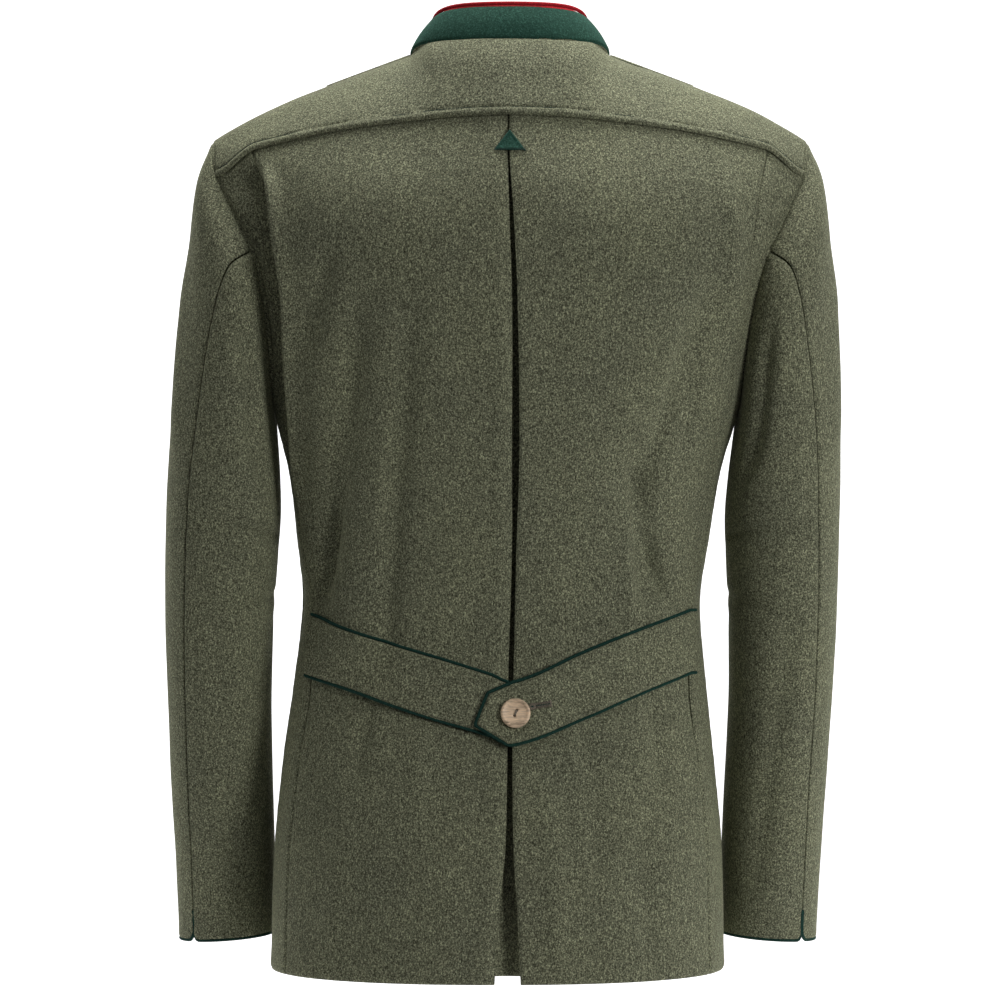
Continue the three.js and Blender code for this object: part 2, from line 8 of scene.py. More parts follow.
import bpy
import numpy as np
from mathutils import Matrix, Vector


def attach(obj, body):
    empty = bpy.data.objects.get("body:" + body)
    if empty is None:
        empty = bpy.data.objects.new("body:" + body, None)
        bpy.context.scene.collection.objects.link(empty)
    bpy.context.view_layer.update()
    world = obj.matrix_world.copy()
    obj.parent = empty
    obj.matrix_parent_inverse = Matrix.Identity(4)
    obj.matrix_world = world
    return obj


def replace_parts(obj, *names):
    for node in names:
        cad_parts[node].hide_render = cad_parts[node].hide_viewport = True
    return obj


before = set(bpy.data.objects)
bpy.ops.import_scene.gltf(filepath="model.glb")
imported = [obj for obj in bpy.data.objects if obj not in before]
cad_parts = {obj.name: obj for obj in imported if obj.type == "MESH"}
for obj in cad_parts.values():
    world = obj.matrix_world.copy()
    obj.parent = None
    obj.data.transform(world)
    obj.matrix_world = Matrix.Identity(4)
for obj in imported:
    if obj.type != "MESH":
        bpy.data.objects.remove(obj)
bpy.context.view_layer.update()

bl_info = {
    "name": "Loden Jacket",
    "version": (1, 0, 0),
    "blender": (4, 5, 0),
    "location": "View3D > Sidebar > Jacket",
    "description": "Builds a hollow loden jacket with its yoke, pleat, half-belt and piping",
    "category": "Add Mesh",
}

MM = 0.001
BODY = "root"

# The finish that a material slot of the part gets
FINISHES = {
    "loden": "milled_loden",
    "collar_felt": "green_felt",
    "red_wool": "scarlet_wool",
    "piping_felt": "dark_felt",
    "button_wood": "turned_wood",
}

# Sizes shared with the CAD solids
CLOTH = 2.0
HEM = -735.0
UNDERARM = -290.0
NECK_HALF, NECK_BACK, NECK_SIDE_DROP, NECK_FRONT_DROP = 80.0, 60.0, 8.0, 75.0
COLLAR = {"half": 64.0, "back": 50.0, "front": 73.0, "top": 26.0, "side_top": 14.0, "front_top": -44.0}
COLLAR_CLOTH = 1.6
SLOPE, SHOULDER_LENGTH, SHOULDER_ROLL, ROUNDING = 0.37, 158.0, 10.5, 150.0
ROUNDNESS = 2.3
BELT_CLOTH, BELT_GAP = 3.0, 1.0
LAP, UNDERLAP = 20.0, 16.0  # how far each front reaches past the middle
SIDES = ((1, "left"), (-1, "right"))
SEAM = 0.3  # the gap between two pieces of cloth at a seam
PANEL_WIDTH = {"back": 200.0, "side": 26.0, "front": 260.0}  # about how wide the panels are
PLEAT_DEPTH = 26.0  # how far the underlay reaches behind each folded edge
SHOULDER_TIP = -77.0  # height of the outer end of the shoulder seam
FAN_FROM = 0.62  # the share of a panel's rows that lie below the underarm
FIRST_TOP = -70.0  # a first guess at the top of a panel
FRONTS_APART = 1.2  # air between the two fronts where they lap
# The yoke: its seam's height in the middle and how it falls towards the sides, how far its welt
# stands up, the share of its width that ends at the neck, the groove above the welt, and how far
# the back runs up under it.
YOKE = {
    "middle": -64.0, "fall": 22.0, "at": 200.0, "end": 232.0, "drop": 14.0, "lift": 3.2, "neck": 0.4,
    "groove": 6.8, "under": 5.0,
}


def table(columns, *rows):
    """A table as one array for each named column."""
    return dict(zip(columns.split(), np.array(rows, float).T))


# The torso from the hem up: half width, depth behind and before the middle, how far the section
# stands to the wearer's left, and where the side-back seam runs as a share of the half width.
SECTIONS = table(
    "z half back front sway seam",
    (-735, 181, 134, 140, 10, 0.92),
    (-640, 178.5, 127, 138, 9.5, 0.92),
    (-571, 172, 112, 133, 9, 0.915),
    (-507, 164.5, 98, 128, 8, 0.912),
    (-443, 159, 91, 126, 7, 0.955),
    (-395, 164.5, 97, 128, 6, 0.975),
    (-340, 172.5, 108, 131, 4.5, 0.972),
    (-290, 186, 117, 133, 3, 0.935),
    (-240, 197, 122, 132, 2, 0.905),
    (-200, 208, 124, 128, 1, 0.872),
    (-160, 226, 121, 120, 0, 0.84),
    (-120, 244, 114, 104, 0, 0.805),
    (-80, 256, 104, 88, 0, 0.8),
    (-20, 262, 98, 74, 0, 0.8),
)

# How far out the armhole runs on the back and on the front, from the underarm to the shoulder.
ARMHOLE = table(
    "z back front",
    (-290, 186, 186),
    (-265, 187, 184.5),
    (-240, 189, 184),
    (-200, 194.5, 187),
    (-174, 201, 194),
    (-156, 209, 201),
    (-134, 220, 212),
    (-106, 233, 228),
    (-92, 237, 235),
    (-77, 238, 238),
)

# Rings of a sleeve from the armhole to the hem: outer and inner point, the middle's y, half depth.
SLEEVE = table(
    "at out_x out_z in_x in_z y deep",
    (0, 238, -77, 186, -290, 0, 58),
    (0.07, 250, -108, 184, -302, 2, 66),
    (0.15, 256, -158, 181.5, -322, 2, 68),
    (0.25, 261, -215, 179, -346, 1, 65),
    (0.36, 266, -275, 177.5, -376, 0, 61),
    (0.47, 269, -340, 179, -412, -2, 57),
    (0.58, 269.5, -420, 182, -458, -6, 54),
    (0.69, 268, -500, 183.5, -516, -14, 52),
    (0.8, 264.5, -580, 182.5, -585, -26, 50),
    (0.9, 261, -655, 180.5, -652, -40, 48),
    (1, 258.5, -718, 181, -713, -52, 46),
)

# Where the two seams of a sleeve run, in turns from its outer point towards the back.
SLEEVE_SEAMS = table(
    "at back front",
    (0, 0.225, -0.3),
    (0.15, 0.19, -0.31),
    (0.45, 0.158, -0.32),
    (0.7, 0.15, -0.32),
    (1, 0.142, -0.31),
)

# The folded edges of the pleat in the middle of the back.
PLEAT = table(
    "z left right",
    (-740, 12.3, -7.9),
    (-686, 9.2, -5.4),
    (-632, 3.8, -2.3),
    (-552, 2.0, -1.5),
    (-500, 1.4, -2.4),
    (-402, -1.5, -4.6),
    (-325, -1.5, -6.9),
    (-209, -1.5, -5.4),
    (-140, 0.6, -2.3),
    (-94, 1.8, 0.8),
    (-60, 1.8, 0.8),
)

# The edges of the half-belt, from its right end to its left end.
BELT = table(
    "x top bottom",
    (-140, -451, -498),
    (-93, -468, -516),
    (-60, -481, -530),
    (-2, -505, -551),
    (16, -499, -544),
    (58, -486, -532),
    (93, -476, -521),
    (122, -467, -511),
    (166, -452, -498),
)
TAB_POINT, TAB_LOWER, TAB_UPPER = (2.0, -551.0), (26.0, -536.5), (16.6, -513.0)
LEFT_STRAP_END = 1.0
BELT_REACH, BELT_SWAY = 151.5, 7.3  # how far the side-back seams are, and their middle
BELT_BUTTON = (-3.8, -528.0)
FRONT_BUTTON_HEIGHTS = [-120.0 - 88.0 * i for i in range(5)]

# How much deeper and narrower the folds are made than their tables say, which the CAD follows
FOLD_SHARE, FOLD_WIDTH = 2.5, 0.66

# The folds of the back: from one point to another, the width and the depth. A negative depth is a
# ridge. The first five are in the CAD solids too.
FOLDS = table(
    "x0 z0 x1 z1 wide deep",
    (118, -232, 144, -452, 20, 4),
    (77, -240, 90, -470, 17, 2.6),
    (142, -170, 156, -235, 16, 2.4),
    (-158, -209, -104, -345, 20, 3.2),
    (-104, -345, -114, -430, 17, 3),
    (136, -375, 146, -436, 7, 2.8),
    (131, -250, 127, -330, 9, -0.9),
    (95, -300, 100, -440, 8, -0.8),
    (-128, -250, -108, -330, 9, -1),
    (-116, -400, -128, -440, 6, 2.0),
    (-97, -360, -100, -455, 9, -1),
    (-172, -118, -176, -215, 13, -1.6),
    (-150, -262, -139, -330, 10, 1.2),
    (103, -530, 112, -575, 9, 1.4),
    (60, -540, 66, -620, 11, -0.8),
    (-70, -545, -78, -640, 12, 1),
    (-118, -520, -128, -590, 10, 1.1),
    (120, -590, 130, -700, 14, -1.2),
    (-40, -600, -46, -710, 13, -1),
    (-112, -630, -118, -715, 14, 1.1),
)

# The folds of the fronts, which round over the chest and close in at the waist.
FRONT_FOLDS = table(
    "x0 z0 x1 z1 wide deep",
    (128, -236, 138, -440, 19, 2.8),
    (-126, -230, -140, -430, 18, 2.6),
    (84, -300, 92, -455, 14, 1.8),
    (-80, -280, -94, -450, 15, 2),
    (110, -500, 122, -600, 12, 1.5),
    (-104, -505, -118, -610, 13, 1.4),
    (150, -150, 128, -220, 13, 1.8),
    (-150, -150, -130, -224, 13, 1.6),
    (48, -470, 56, -560, 12, -1),
    (-50, -480, -60, -580, 12, -1.1),
)

# The folds of a sleeve: from one place to another as (share of its length, turn), width and depth.
SLEEVE_FOLDS = table(
    "at0 turn0 at1 turn1 wide deep",
    (0.1, 0.3, 0.3, 0.36, 15, 2.2),
    (0.05, -0.22, 0.26, -0.36, 14, 2),
    (0.42, 0.45, 0.5, 0.2, 10, 1.6),
    (0.49, -0.42, 0.55, -0.2, 9, 1.9),
    (0.54, 0.5, 0.6, 0.26, 9, 1.2),
    (0.44, -0.45, 0.47, -0.22, 9, 1.5),
    (0.58, -0.46, 0.66, -0.26, 10, 1.3),
    (0.2, 0.04, 0.42, 0.08, 16, -1.2),
    (0.6, 0.24, 0.9, 0.3, 14, 1.1),
    (0.66, -0.1, 0.92, -0.14, 16, 1),
)


def mix(a, b, t):
    return a + (b - a) * t


def ease(t):
    k = np.clip(t, 0.0, 1.0)
    return k * k * (3.0 - 2.0 * k)


def bell(distance, width):
    return np.exp(-((distance / width) ** 2))


def along(rows, key, column, at):
    """A smooth curve through one column of a table, read along another."""
    keys, values = rows[key], rows[column]
    last = len(keys) - 1
    ends = np.clip(np.arange(last + 1) + 1, 0, last), np.clip(np.arange(last + 1) - 1, 0, last)
    slope = (values[ends[0]] - values[ends[1]]) / (keys[ends[0]] - keys[ends[1]])
    i = np.clip(np.searchsorted(keys, at, side="right") - 1, 0, last - 1)
    span = keys[i + 1] - keys[i]
    t = np.clip((at - keys[i]) / span, 0.0, 1.0)
    bend = t * (1 - t) * span * ((1 - t) * slope[i] - t * slope[i + 1])
    return mix(values[i], values[i + 1], t * t * (3 - 2 * t)) + bend


def torso_row(column, z):
    return along(SECTIONS, "z", column, z)


def shoulder_line(x):
    """Height of the shoulder's ridge over a point x away from the middle."""
    d = np.abs(x) - NECK_HALF
    return -NECK_SIDE_DROP - SLOPE * d - SHOULDER_ROLL * (np.maximum(d, 0) / SHOULDER_LENGTH) ** 5


def fullness(x, z):
    t = np.clip((shoulder_line(x) - z) / ROUNDING, 0.0, 1.0)
    return np.sqrt(1 - (1 - t) ** 2)


def fold_depth(folds, x, z):
    deep = np.zeros(np.broadcast(x, z).shape)
    for x0, z0, x1, z1, wide, depth in zip(*folds.values()):
        dx, dz = x1 - x0, z1 - z0
        t = np.clip(((x - x0) * dx + (z - z0) * dz) / (dx * dx + dz * dz), -0.25, 1.25)
        off = np.hypot(x - x0 - t * dx, z - z0 - t * dz) / (FOLD_WIDTH * wide)
        deep += depth * ease((t + 0.25) / 0.4) * ease((1.25 - t) / 0.4) * np.exp(-off * off)
    return deep


def unevenness(x, y, z):
    """The slight waviness of hand-pressed wool, in millimetres."""
    return (
        0.35 * np.sin(x / 23 + 1.3 * np.sin(z / 61)) * np.sin(z / 47 + 0.8 * np.sin(y / 39 + x / 90))
        + 0.22 * np.sin(x / 11.5 + z / 83 + y / 19) * np.sin(z / 29 - x / 57)
        + 0.1 * np.sin(x / 5.7 + z / 31) * np.sin(z / 13 + y / 17)
    )


def torso(angle, z, lift=0.0):
    """Points of the torso at an angle from the middle of the back over the side to the front."""
    half = torso_row("half", z)
    s, c = np.sin(angle), np.cos(angle)
    r = (np.abs(s) ** ROUNDNESS + np.abs(c) ** ROUNDNESS) ** (-1 / ROUNDNESS)
    x = half * r * s
    depth = np.where(c > 0, torso_row("back", z), torso_row("front", z)) * fullness(x, z)
    y = depth * r * c
    out_x = np.sign(s) * np.abs(r * s) ** (ROUNDNESS - 1) / half
    out_y = np.sign(c) * np.abs(r * c) ** (ROUNDNESS - 1) / np.maximum(depth, 20)
    size = np.hypot(out_x, out_y)
    folds = np.where(c > 0, fold_depth(FOLDS, x, z), fold_depth(FRONT_FOLDS, x, z))
    rise = lift - FOLD_SHARE * folds
    return np.stack(
        np.broadcast_arrays(x + torso_row("sway", z) + rise * out_x / size, y + rise * out_y / size, z), -1
    )


def angle_at(x, z, front=False):
    """The angle at which the torso is x away from the section's middle."""
    m = np.minimum(np.abs(x) / torso_row("half", z), 1.0)
    c = (1 - m**ROUNDNESS) ** (1 / ROUNDNESS)
    return np.where(x < 0, -1.0, 1.0) * np.arctan2(m, -c if front else c)


def yoke_seam(x):
    out = np.abs(x)
    drop = YOKE["drop"] * ease((out - YOKE["at"]) / (YOKE["end"] - YOKE["at"]))
    return YOKE["middle"] - YOKE["fall"] * (out / YOKE["at"]) ** 2 - drop


def outer_angle(z, front):
    side = angle_at(along(ARMHOLE, "z", "front" if front else "back", z), z, front)
    return np.where(z <= UNDERARM, math.pi / 2, side)


def panel_height(v, top):
    k = np.clip((v - FAN_FROM) / (1 - FAN_FROM), 0, 1)
    upper = mix(UNDERARM, top, 1 - (1 - k) ** 1.5)
    return np.where(v < FAN_FROM, mix(HEM, UNDERARM, v / FAN_FROM), upper)


def neck_point(turn):
    x = NECK_HALF * np.sin(turn)
    k = math.log(NECK_SIDE_DROP / NECK_FRONT_DROP) / math.log(0.5)
    z = -NECK_FRONT_DROP * ((1 - np.cos(turn)) / 2) ** k
    front = torso(angle_at(x, z, True), z)[..., 1]
    y = np.where(np.abs(turn) <= math.pi / 2, NECK_BACK * np.cos(turn), front)
    return np.stack([x, y, z], -1)


def collar_top(turn):
    fall = COLLAR["top"] - COLLAR["front_top"]
    k = math.log((COLLAR["top"] - COLLAR["side_top"]) / fall) / math.log(0.5)
    deep = np.where(np.cos(turn) > 0, COLLAR["back"], COLLAR["front"])
    z = COLLAR["top"] - fall * ((1 - np.cos(turn)) / 2) ** k
    return np.stack([COLLAR["half"] * np.sin(turn), deep * np.cos(turn), z], -1)


def sleeve_point(side, at, turn):
    """A point of a sleeve: at from the armhole (0) to the hem (1), turn in whole turns."""
    c, s = np.cos(turn * 2 * math.pi), np.sin(turn * 2 * math.pi)
    level = (1 - c) / 2
    col = {name: along(SLEEVE, "at", name, at) for name in ("out_x", "out_z", "in_x", "in_z", "y", "deep")}
    z = mix(col["out_z"], col["in_z"], level)
    x = mix(col["out_x"], col["in_x"], level)
    y = col["y"] + col["deep"] * s
    fade = np.clip(1 - at / 0.3, 0, 1) ** 2
    z0 = mix(SLEEVE["out_z"][0], SLEEVE["in_z"][0], level)
    edge = {}
    for front in (False, True):
        x0 = along(ARMHOLE, "z", "front" if front else "back", z0)
        edge[front] = x0, torso(angle_at(x0, z0, front), z0)[..., 1]
    x0, y0 = (np.where(s < 0, edge[True][i], edge[False][i]) for i in (0, 1))
    x = x + fade * (x0 - mix(SLEEVE["out_x"][0], SLEEVE["in_x"][0], level))
    y = y + fade * (y0 - SLEEVE["y"][0] - SLEEVE["deep"][0] * s)
    return np.stack([side * x + torso_row("sway", z), y, z], -1)


# Making cloth

def spacing(length, step):
    """Places from 0 to 1 along a length, step apart, with more near both ends to round them."""
    near = np.array([0.5, 1.2, 2.2, 3.6]) / length
    even = np.linspace(0, 1, max(int(length / step), 4) + 1)
    middle = even[(even > 4.6 / length) & (even < 1 - 4.6 / length)]
    return np.sort(np.concatenate([[0, 1], near, 1 - near, middle]))


def grid(surface, us, vs):
    u, v = np.meshgrid(us, vs)
    return surface(u, v)


def normals(points, inside):
    """Unit normals of a grid of points that face away from a place inside it, and their sign."""
    n = np.cross(np.gradient(points, axis=1), np.gradient(points, axis=0))
    n /= np.maximum(np.linalg.norm(n, axis=-1, keepdims=True), 1e-9)
    facing = np.sign(np.nansum(n * (points - inside)))
    return n * facing, facing


def run_lengths(points, axis):
    """How far each point of a grid lies from its first and from its last line, along the cloth."""
    steps = np.linalg.norm(np.diff(points, axis=axis), axis=-1)
    start = np.zeros(points.shape[:2])
    if axis == 1:
        start[:, 1:] = np.cumsum(steps, 1)
        return start, start[:, -1:] - start
    start[1:] = np.cumsum(steps, 0)
    return start, start[-1:] - start


def add_object(name, verts, faces, slot, finish=None, sharp=42):
    """A piece that rides on the body, in the finish of its slot unless another is named."""
    mesh = bpy.data.meshes.new(name)
    mesh.from_pydata((np.asarray(verts) * MM).tolist(), [], faces)
    mesh.polygons.foreach_set("use_smooth", [True] * len(mesh.polygons))
    mesh.set_sharp_from_angle(angle=math.radians(sharp))
    mesh.materials.append(finish_of(finish or FINISHES[slot]))
    mesh.update()
    obj = bpy.data.objects.new(name, mesh)
    bpy.context.scene.collection.objects.link(obj)
    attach(obj, BODY)
    return obj


def wall(points, inside, thick):
    """Vertices and faces of a closed wall: the grid's face, and one a thickness inside it."""
    n, facing = normals(points, inside)
    rows, columns = points.shape[:2]
    verts = np.concatenate([points.reshape(-1, 3), (points - n * thick).reshape(-1, 3)])
    layer = rows * columns
    ids = np.arange(layer).reshape(rows, columns)
    quads = [np.stack([ids[:-1, :-1], ids[:-1, 1:], ids[1:, 1:], ids[1:, :-1]], -1).reshape(-1, 4)]
    quads.append(quads[0][:, ::-1] + layer)
    for line in (ids[0], ids[-1][::-1], ids[:, 0][::-1], ids[:, -1]):
        quads.append(np.stack([line[:-1], line[:-1] + layer, line[1:] + layer, line[1:]], -1))
    faces = np.concatenate(quads)
    if facing < 0:
        faces = faces[:, ::-1]
    return verts, faces.tolist()


def cloth(node, surface, us, vs, relief, slot="loden", thick=CLOTH, inside=(0, 0, -400)):
    """A sheet of cloth in place of a CAD node, over surface(u, v) of columns us and rows vs, with
    relief(points, edges) raised along its normals."""
    flat = grid(surface, us, vs)
    n, _ = normals(flat, np.array(inside))
    left, right = run_lengths(flat, 1)
    low, high = run_lengths(flat, 0)
    rise = relief(flat, {"left": left, "right": right, "low": low, "high": high})
    x, y, z = np.moveaxis(flat, -1, 0)
    points = flat + n * (rise + unevenness(x, y, z))[..., None]
    verts, faces = wall(points, np.array(inside), thick)
    obj = add_object(f"{node}_cloth", verts, faces, slot)
    flat_sheet(flat)
    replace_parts(obj, node)


def flat_sheet(points):
    """Measure the width and the length of a grid of points along the cloth; nothing uses them."""
    width = run_lengths(points, 1)[0][:, -1].max() * MM
    length = run_lengths(points, 0)[0][-1].max() * MM


def seam_tape(name, path, slot="loden"):
    """The turned-in allowance of a seam, as a soft cord of cloth behind it."""
    add_object(name, *cord_mesh(resample(path, 3), 2.6, 8), slot, "milled_loden")


def rolled(distance, depth=0.9, width=1.5):
    """How far an edge turns under, at a distance from it."""
    return -depth * bell(distance, width)


def pucker(place, distance, reach=7.0, size=0.16):
    """The fine gathers that a line of stitching leaves beside it."""
    waves = np.sin(place / 2.1 + 1.7 * np.sin(place / 13)) + 0.6 * np.sin(place / 3.7)
    return size * waves * np.exp(-distance / reach)


def directions(path):
    ahead = np.gradient(path, axis=0)
    return ahead / np.maximum(np.linalg.norm(ahead, axis=1, keepdims=True), 1e-9)


def frames_along(path):
    """Two directions across a path at each of its points, carried along without twisting."""
    ahead = directions(path)
    side = np.zeros_like(path)
    last = np.cross(ahead[0], [0.31, 0.87, 0.39])
    for i, forward in enumerate(ahead):
        last = last - forward * np.dot(last, forward)
        last = last / max(np.linalg.norm(last), 1e-9)
        side[i] = last
    return side, np.cross(ahead, side)


# A cord's rounded ends: how far a ring stands past the end, and its size, in radii.
CORD_END = [(-0.9, 0.4), (-0.55, 0.82)]


def cord_mesh(path, radius, sides=10):
    """Vertices and faces of a round cord along a path, with rounded ends."""
    path = np.asarray(path, float)
    side, up = (np.concatenate([d[:1], d[:1], d, d[-1:], d[-1:]]) for d in frames_along(path))
    first, *_, last = directions(path)
    head = [path[0] + first * radius * a for a, _ in CORD_END]
    tail = [path[-1] - last * radius * a for a, _ in CORD_END[::-1]]
    path = np.concatenate([head, path, tail])
    scale = np.ones(len(path))
    scale[:2] = [b for _, b in CORD_END]
    scale[-2:] = [b for _, b in CORD_END[::-1]]
    around = np.arange(sides) * 2 * math.pi / sides
    ring = np.cos(around)[:, None, None] * side + np.sin(around)[:, None, None] * up
    verts = (path + radius * scale[:, None] * ring).transpose(1, 0, 2).reshape(-1, 3)
    faces = [tuple(range(sides))[::-1]]
    for i in range(0, (len(path) - 1) * sides, sides):
        for k in range(sides):
            m = (k + 1) % sides
            faces.append((i + k, i + m, i + sides + m, i + sides + k))
    faces.append(tuple((len(path) - 1) * sides + k for k in range(sides)))
    return verts, faces


def join(parts):
    """Several (vertices, faces) as one."""
    verts, faces, base = [], [], 0
    for points, polys in parts:
        verts.append(np.asarray(points))
        faces += [tuple(base + i for i in poly) for poly in polys]
        base += len(points)
    return np.concatenate(verts), faces


def resample(path, step):
    path = np.asarray(path, float)
    run = np.concatenate([[0], np.cumsum(np.linalg.norm(np.diff(path, axis=0), axis=1))])
    places = np.linspace(0, run[-1], max(int(run[-1] / step), 2) + 1)
    return np.stack([np.interp(places, run, path[:, k]) for k in range(3)], 1)


def stitches(path, length, gap, radius, across=None):
    """Short stitches along a path, or across it where a direction is given for each point."""
    line = resample(path, length + gap)
    made = []
    for i in range(len(line) - 1):
        middle = (line[i] + line[i + 1]) / 2
        way = line[i + 1] - line[i] if across is None else across[min(i, len(across) - 1)]
        way = way / max(np.linalg.norm(way), 1e-9) * length / 2
        made.append(cord_mesh(np.array([middle - way, middle, middle + way]), radius, 6))
    return made


# Materials

def linear(hex_colour):
    """An sRGB hex value as linear red, green, blue and alpha."""
    parts = [int(hex_colour[i:i + 2], 16) / 255 for i in (1, 3, 5)]
    return (*[c / 12.92 if c <= 0.04045 else ((c + 0.055) / 1.055) ** 2.4 for c in parts], 1.0)


def add_node(tree, kind, inputs=(), **settings):
    """A node with its settings; inputs are (socket, value or output socket) pairs."""
    made = tree.nodes.new(kind)
    for name, value in settings.items():
        setattr(made, name, value)
    for name, value in inputs:
        if isinstance(value, bpy.types.NodeSocket):
            tree.links.new(value, made.inputs[name])
        else:
            made.inputs[name].default_value = value
    return made


def blank_material(name):
    material = bpy.data.materials.new(name)
    material.use_nodes = True
    tree = material.node_tree
    tree.nodes.clear()
    return material, tree


def ramp(tree, factor, *stops):
    """A colour ramp: stops are (position, linear colour)."""
    made = add_node(tree, "ShaderNodeValToRGB", [("Fac", factor)])
    elements = made.color_ramp.elements
    while len(elements) < len(stops):
        elements.new(0.5)
    for element, (position, colour) in zip(elements, stops):
        element.position, element.color = position, colour
    return made.outputs["Color"]


def shade(colour, factor):
    return (*[c * factor for c in colour[:3]], 1.0)


def grey(level):
    return (level, level, level, 1.0)


def noise(tree, place, scale, detail, roughness=0.5, distortion=0.0):
    made = add_node(
        tree, "ShaderNodeTexNoise",
        [("Vector", place), ("Scale", scale), ("Detail", detail), ("Roughness", roughness),
         ("Distortion", distortion)],
    )
    return made.outputs["Fac"]


def blended(tree, share, a, b):
    return add_node(tree, "ShaderNodeMix", [("Factor", share), ("A", a), ("B", b)]).outputs["Result"]


def turned_place(tree, place, rotation, scale):
    inputs = [("Vector", place), ("Rotation", rotation), ("Scale", scale)]
    return add_node(tree, "ShaderNodeMapping", inputs).outputs["Vector"]


def finish_surface(tree, height, strength, distance, inputs):
    """The surface with a bump of a height, a strength and a distance in metres."""
    bump = add_node(
        tree, "ShaderNodeBump", [("Height", height), ("Strength", strength), ("Distance", distance)],
    )
    shader = add_node(tree, "ShaderNodeBsdfPrincipled", [*inputs, ("Normal", bump.outputs["Normal"])])
    add_node(tree, "ShaderNodeOutputMaterial", [("Surface", shader.outputs["BSDF"])])


def wool(name, colour, contrast, fleck_mm, nap_mm, sheen, fibre):
    """Milled wool: a matt cloth whose weave is hidden under short felted fibres of several shades,
    which gives it a speckled melange and a soft edge against the light."""
    material, tree = blank_material(name)
    place = add_node(tree, "ShaderNodeTexCoord").outputs["Object"]
    lying = turned_place(tree, place, (0.3, 0.5, 0.7), (1.0, 1.0, 0.28))
    flecks = noise(tree, place, 1 / (fleck_mm * MM), 3.0, 0.65)
    hairs = noise(tree, lying, 1 / (fleck_mm * 0.6 * MM), 2.0, 0.6, 1.4)
    clouds = noise(tree, place, 17.0, 3.0, 0.55)
    melange = ramp(
        tree, blended(tree, fibre, flecks, hairs),
        (0.36, shade(colour, 1 - contrast)),
        (0.46, shade(colour, 1 - contrast * 0.4)),
        (0.54, shade(colour, 1 + contrast * 0.5)),
        (0.63, shade(colour, 1 + contrast * 2.9)),
    )
    drift = ramp(tree, clouds, (0.3, (0.86, 0.86, 0.88, 1)), (0.7, (1, 1, 0.98, 1)))
    tinted = add_node(
        tree, "ShaderNodeMix", [("Factor", 1.0), (6, melange), (7, drift)],
        data_type="RGBA", blend_type="MULTIPLY",
    )
    nap = noise(tree, lying, 1 / (nap_mm * MM), 3.0, 0.7)
    worn = ramp(tree, clouds, (0.3, grey(0.98)), (0.75, grey(0.86)))
    finish_surface(tree, blended(tree, 0.5, nap, flecks), 0.55, 0.0011, [
        ("Base Color", tinted.outputs[2]), ("Roughness", worn), ("IOR", 1.46),
        ("Specular IOR Level", 0.22), ("Sheen Weight", sheen), ("Sheen Roughness", 0.45),
        ("Sheen Tint", shade(colour, 3.5)),
    ])
    return material


def turned_wood(name, colour):
    """Turned maple or olive wood, oiled: pale, with fine brown streaks along the grain and a low
    gloss that shows the rim."""
    material, tree = blank_material(name)
    place = add_node(tree, "ShaderNodeTexCoord").outputs["Object"]
    grain = turned_place(tree, place, (0.2, 0.25, 0.1), (0.16, 1.0, 1.0))
    streaks = noise(tree, grain, 620.0, 4.0, 0.6, 0.9)
    rings = noise(tree, grain, 190.0, 2.0)
    both = blended(tree, 0.45, streaks, rings)
    tint = ramp(
        tree, both,
        (0.36, shade(colour, 0.26)),
        (0.46, shade(colour, 0.72)),
        (0.55, colour),
        (0.72, shade(colour, 1.28)),
    )
    gloss = ramp(tree, both, (0.3, grey(0.55)), (0.7, grey(0.38)))
    finish_surface(tree, streaks, 0.25, 0.0003, [("Base Color", tint), ("Roughness", gloss), ("IOR", 1.5)])
    return material


def twisted_thread(name, colour):
    """Matt buttonhole thread, plied, so that it shows fine slanting bands."""
    material, tree = blank_material(name)
    place = add_node(tree, "ShaderNodeTexCoord").outputs["Object"]
    plies = add_node(
        tree, "ShaderNodeTexWave",
        [("Vector", place), ("Scale", 420.0), ("Distortion", 2.0), ("Detail", 2.0)],
        bands_direction="DIAGONAL",
    ).outputs["Fac"]
    tint = ramp(tree, plies, (0.1, shade(colour, 0.62)), (0.8, shade(colour, 1.15)))
    finish_surface(tree, plies, 0.4, 0.0002, [
        ("Base Color", tint), ("Roughness", 0.72), ("IOR", 1.5), ("Sheen Weight", 0.2),
    ])
    return material


def settings():
    return bpy.context.scene.jacket


def finish_of(kind):
    """The material of a kind of finish, made once from the colour set in the panel."""
    if kind in bpy.data.materials:
        return bpy.data.materials[kind]
    colours = settings()
    makers = {
        "milled_loden": lambda: wool(kind, (*colours.loden, 1), 0.86, 1.25, 0.6, 0.3, 0.45),
        "green_felt": lambda: wool(kind, (*colours.felt, 1), 0.35, 1.4, 0.6, 0.3, 0.3),
        "scarlet_wool": lambda: wool(kind, (*colours.red, 1), 0.25, 1.2, 0.6, 0.2, 0.3),
        "dark_felt": lambda: wool(kind, (*colours.piping, 1), 0.3, 1.0, 0.5, 0.3, 0.3),
        "turned_wood": lambda: turned_wood(kind, (*colours.wood, 1)),
        "grey_thread": lambda: twisted_thread(kind, (*colours.thread, 1)),
        "green_thread": lambda: twisted_thread(kind, (*[c * 0.55 for c in colours.felt], 1)),
    }
    return makers[kind]()


# The pieces of the body

def inset(t, length):
    """Shares of a length that leave half a seam's gap at both ends."""
    return mix(SEAM / 2 / length, 1 - SEAM / 2 / length, t)


def top_under_yoke(angle):
    """How high a column of the back reaches, up under the yoke."""
    z = np.full(np.shape(angle), YOKE["middle"])
    for _ in range(4):
        z = yoke_seam(torso(angle, z)[..., 0] - torso_row("sway", z))
    return z + YOKE["under"]


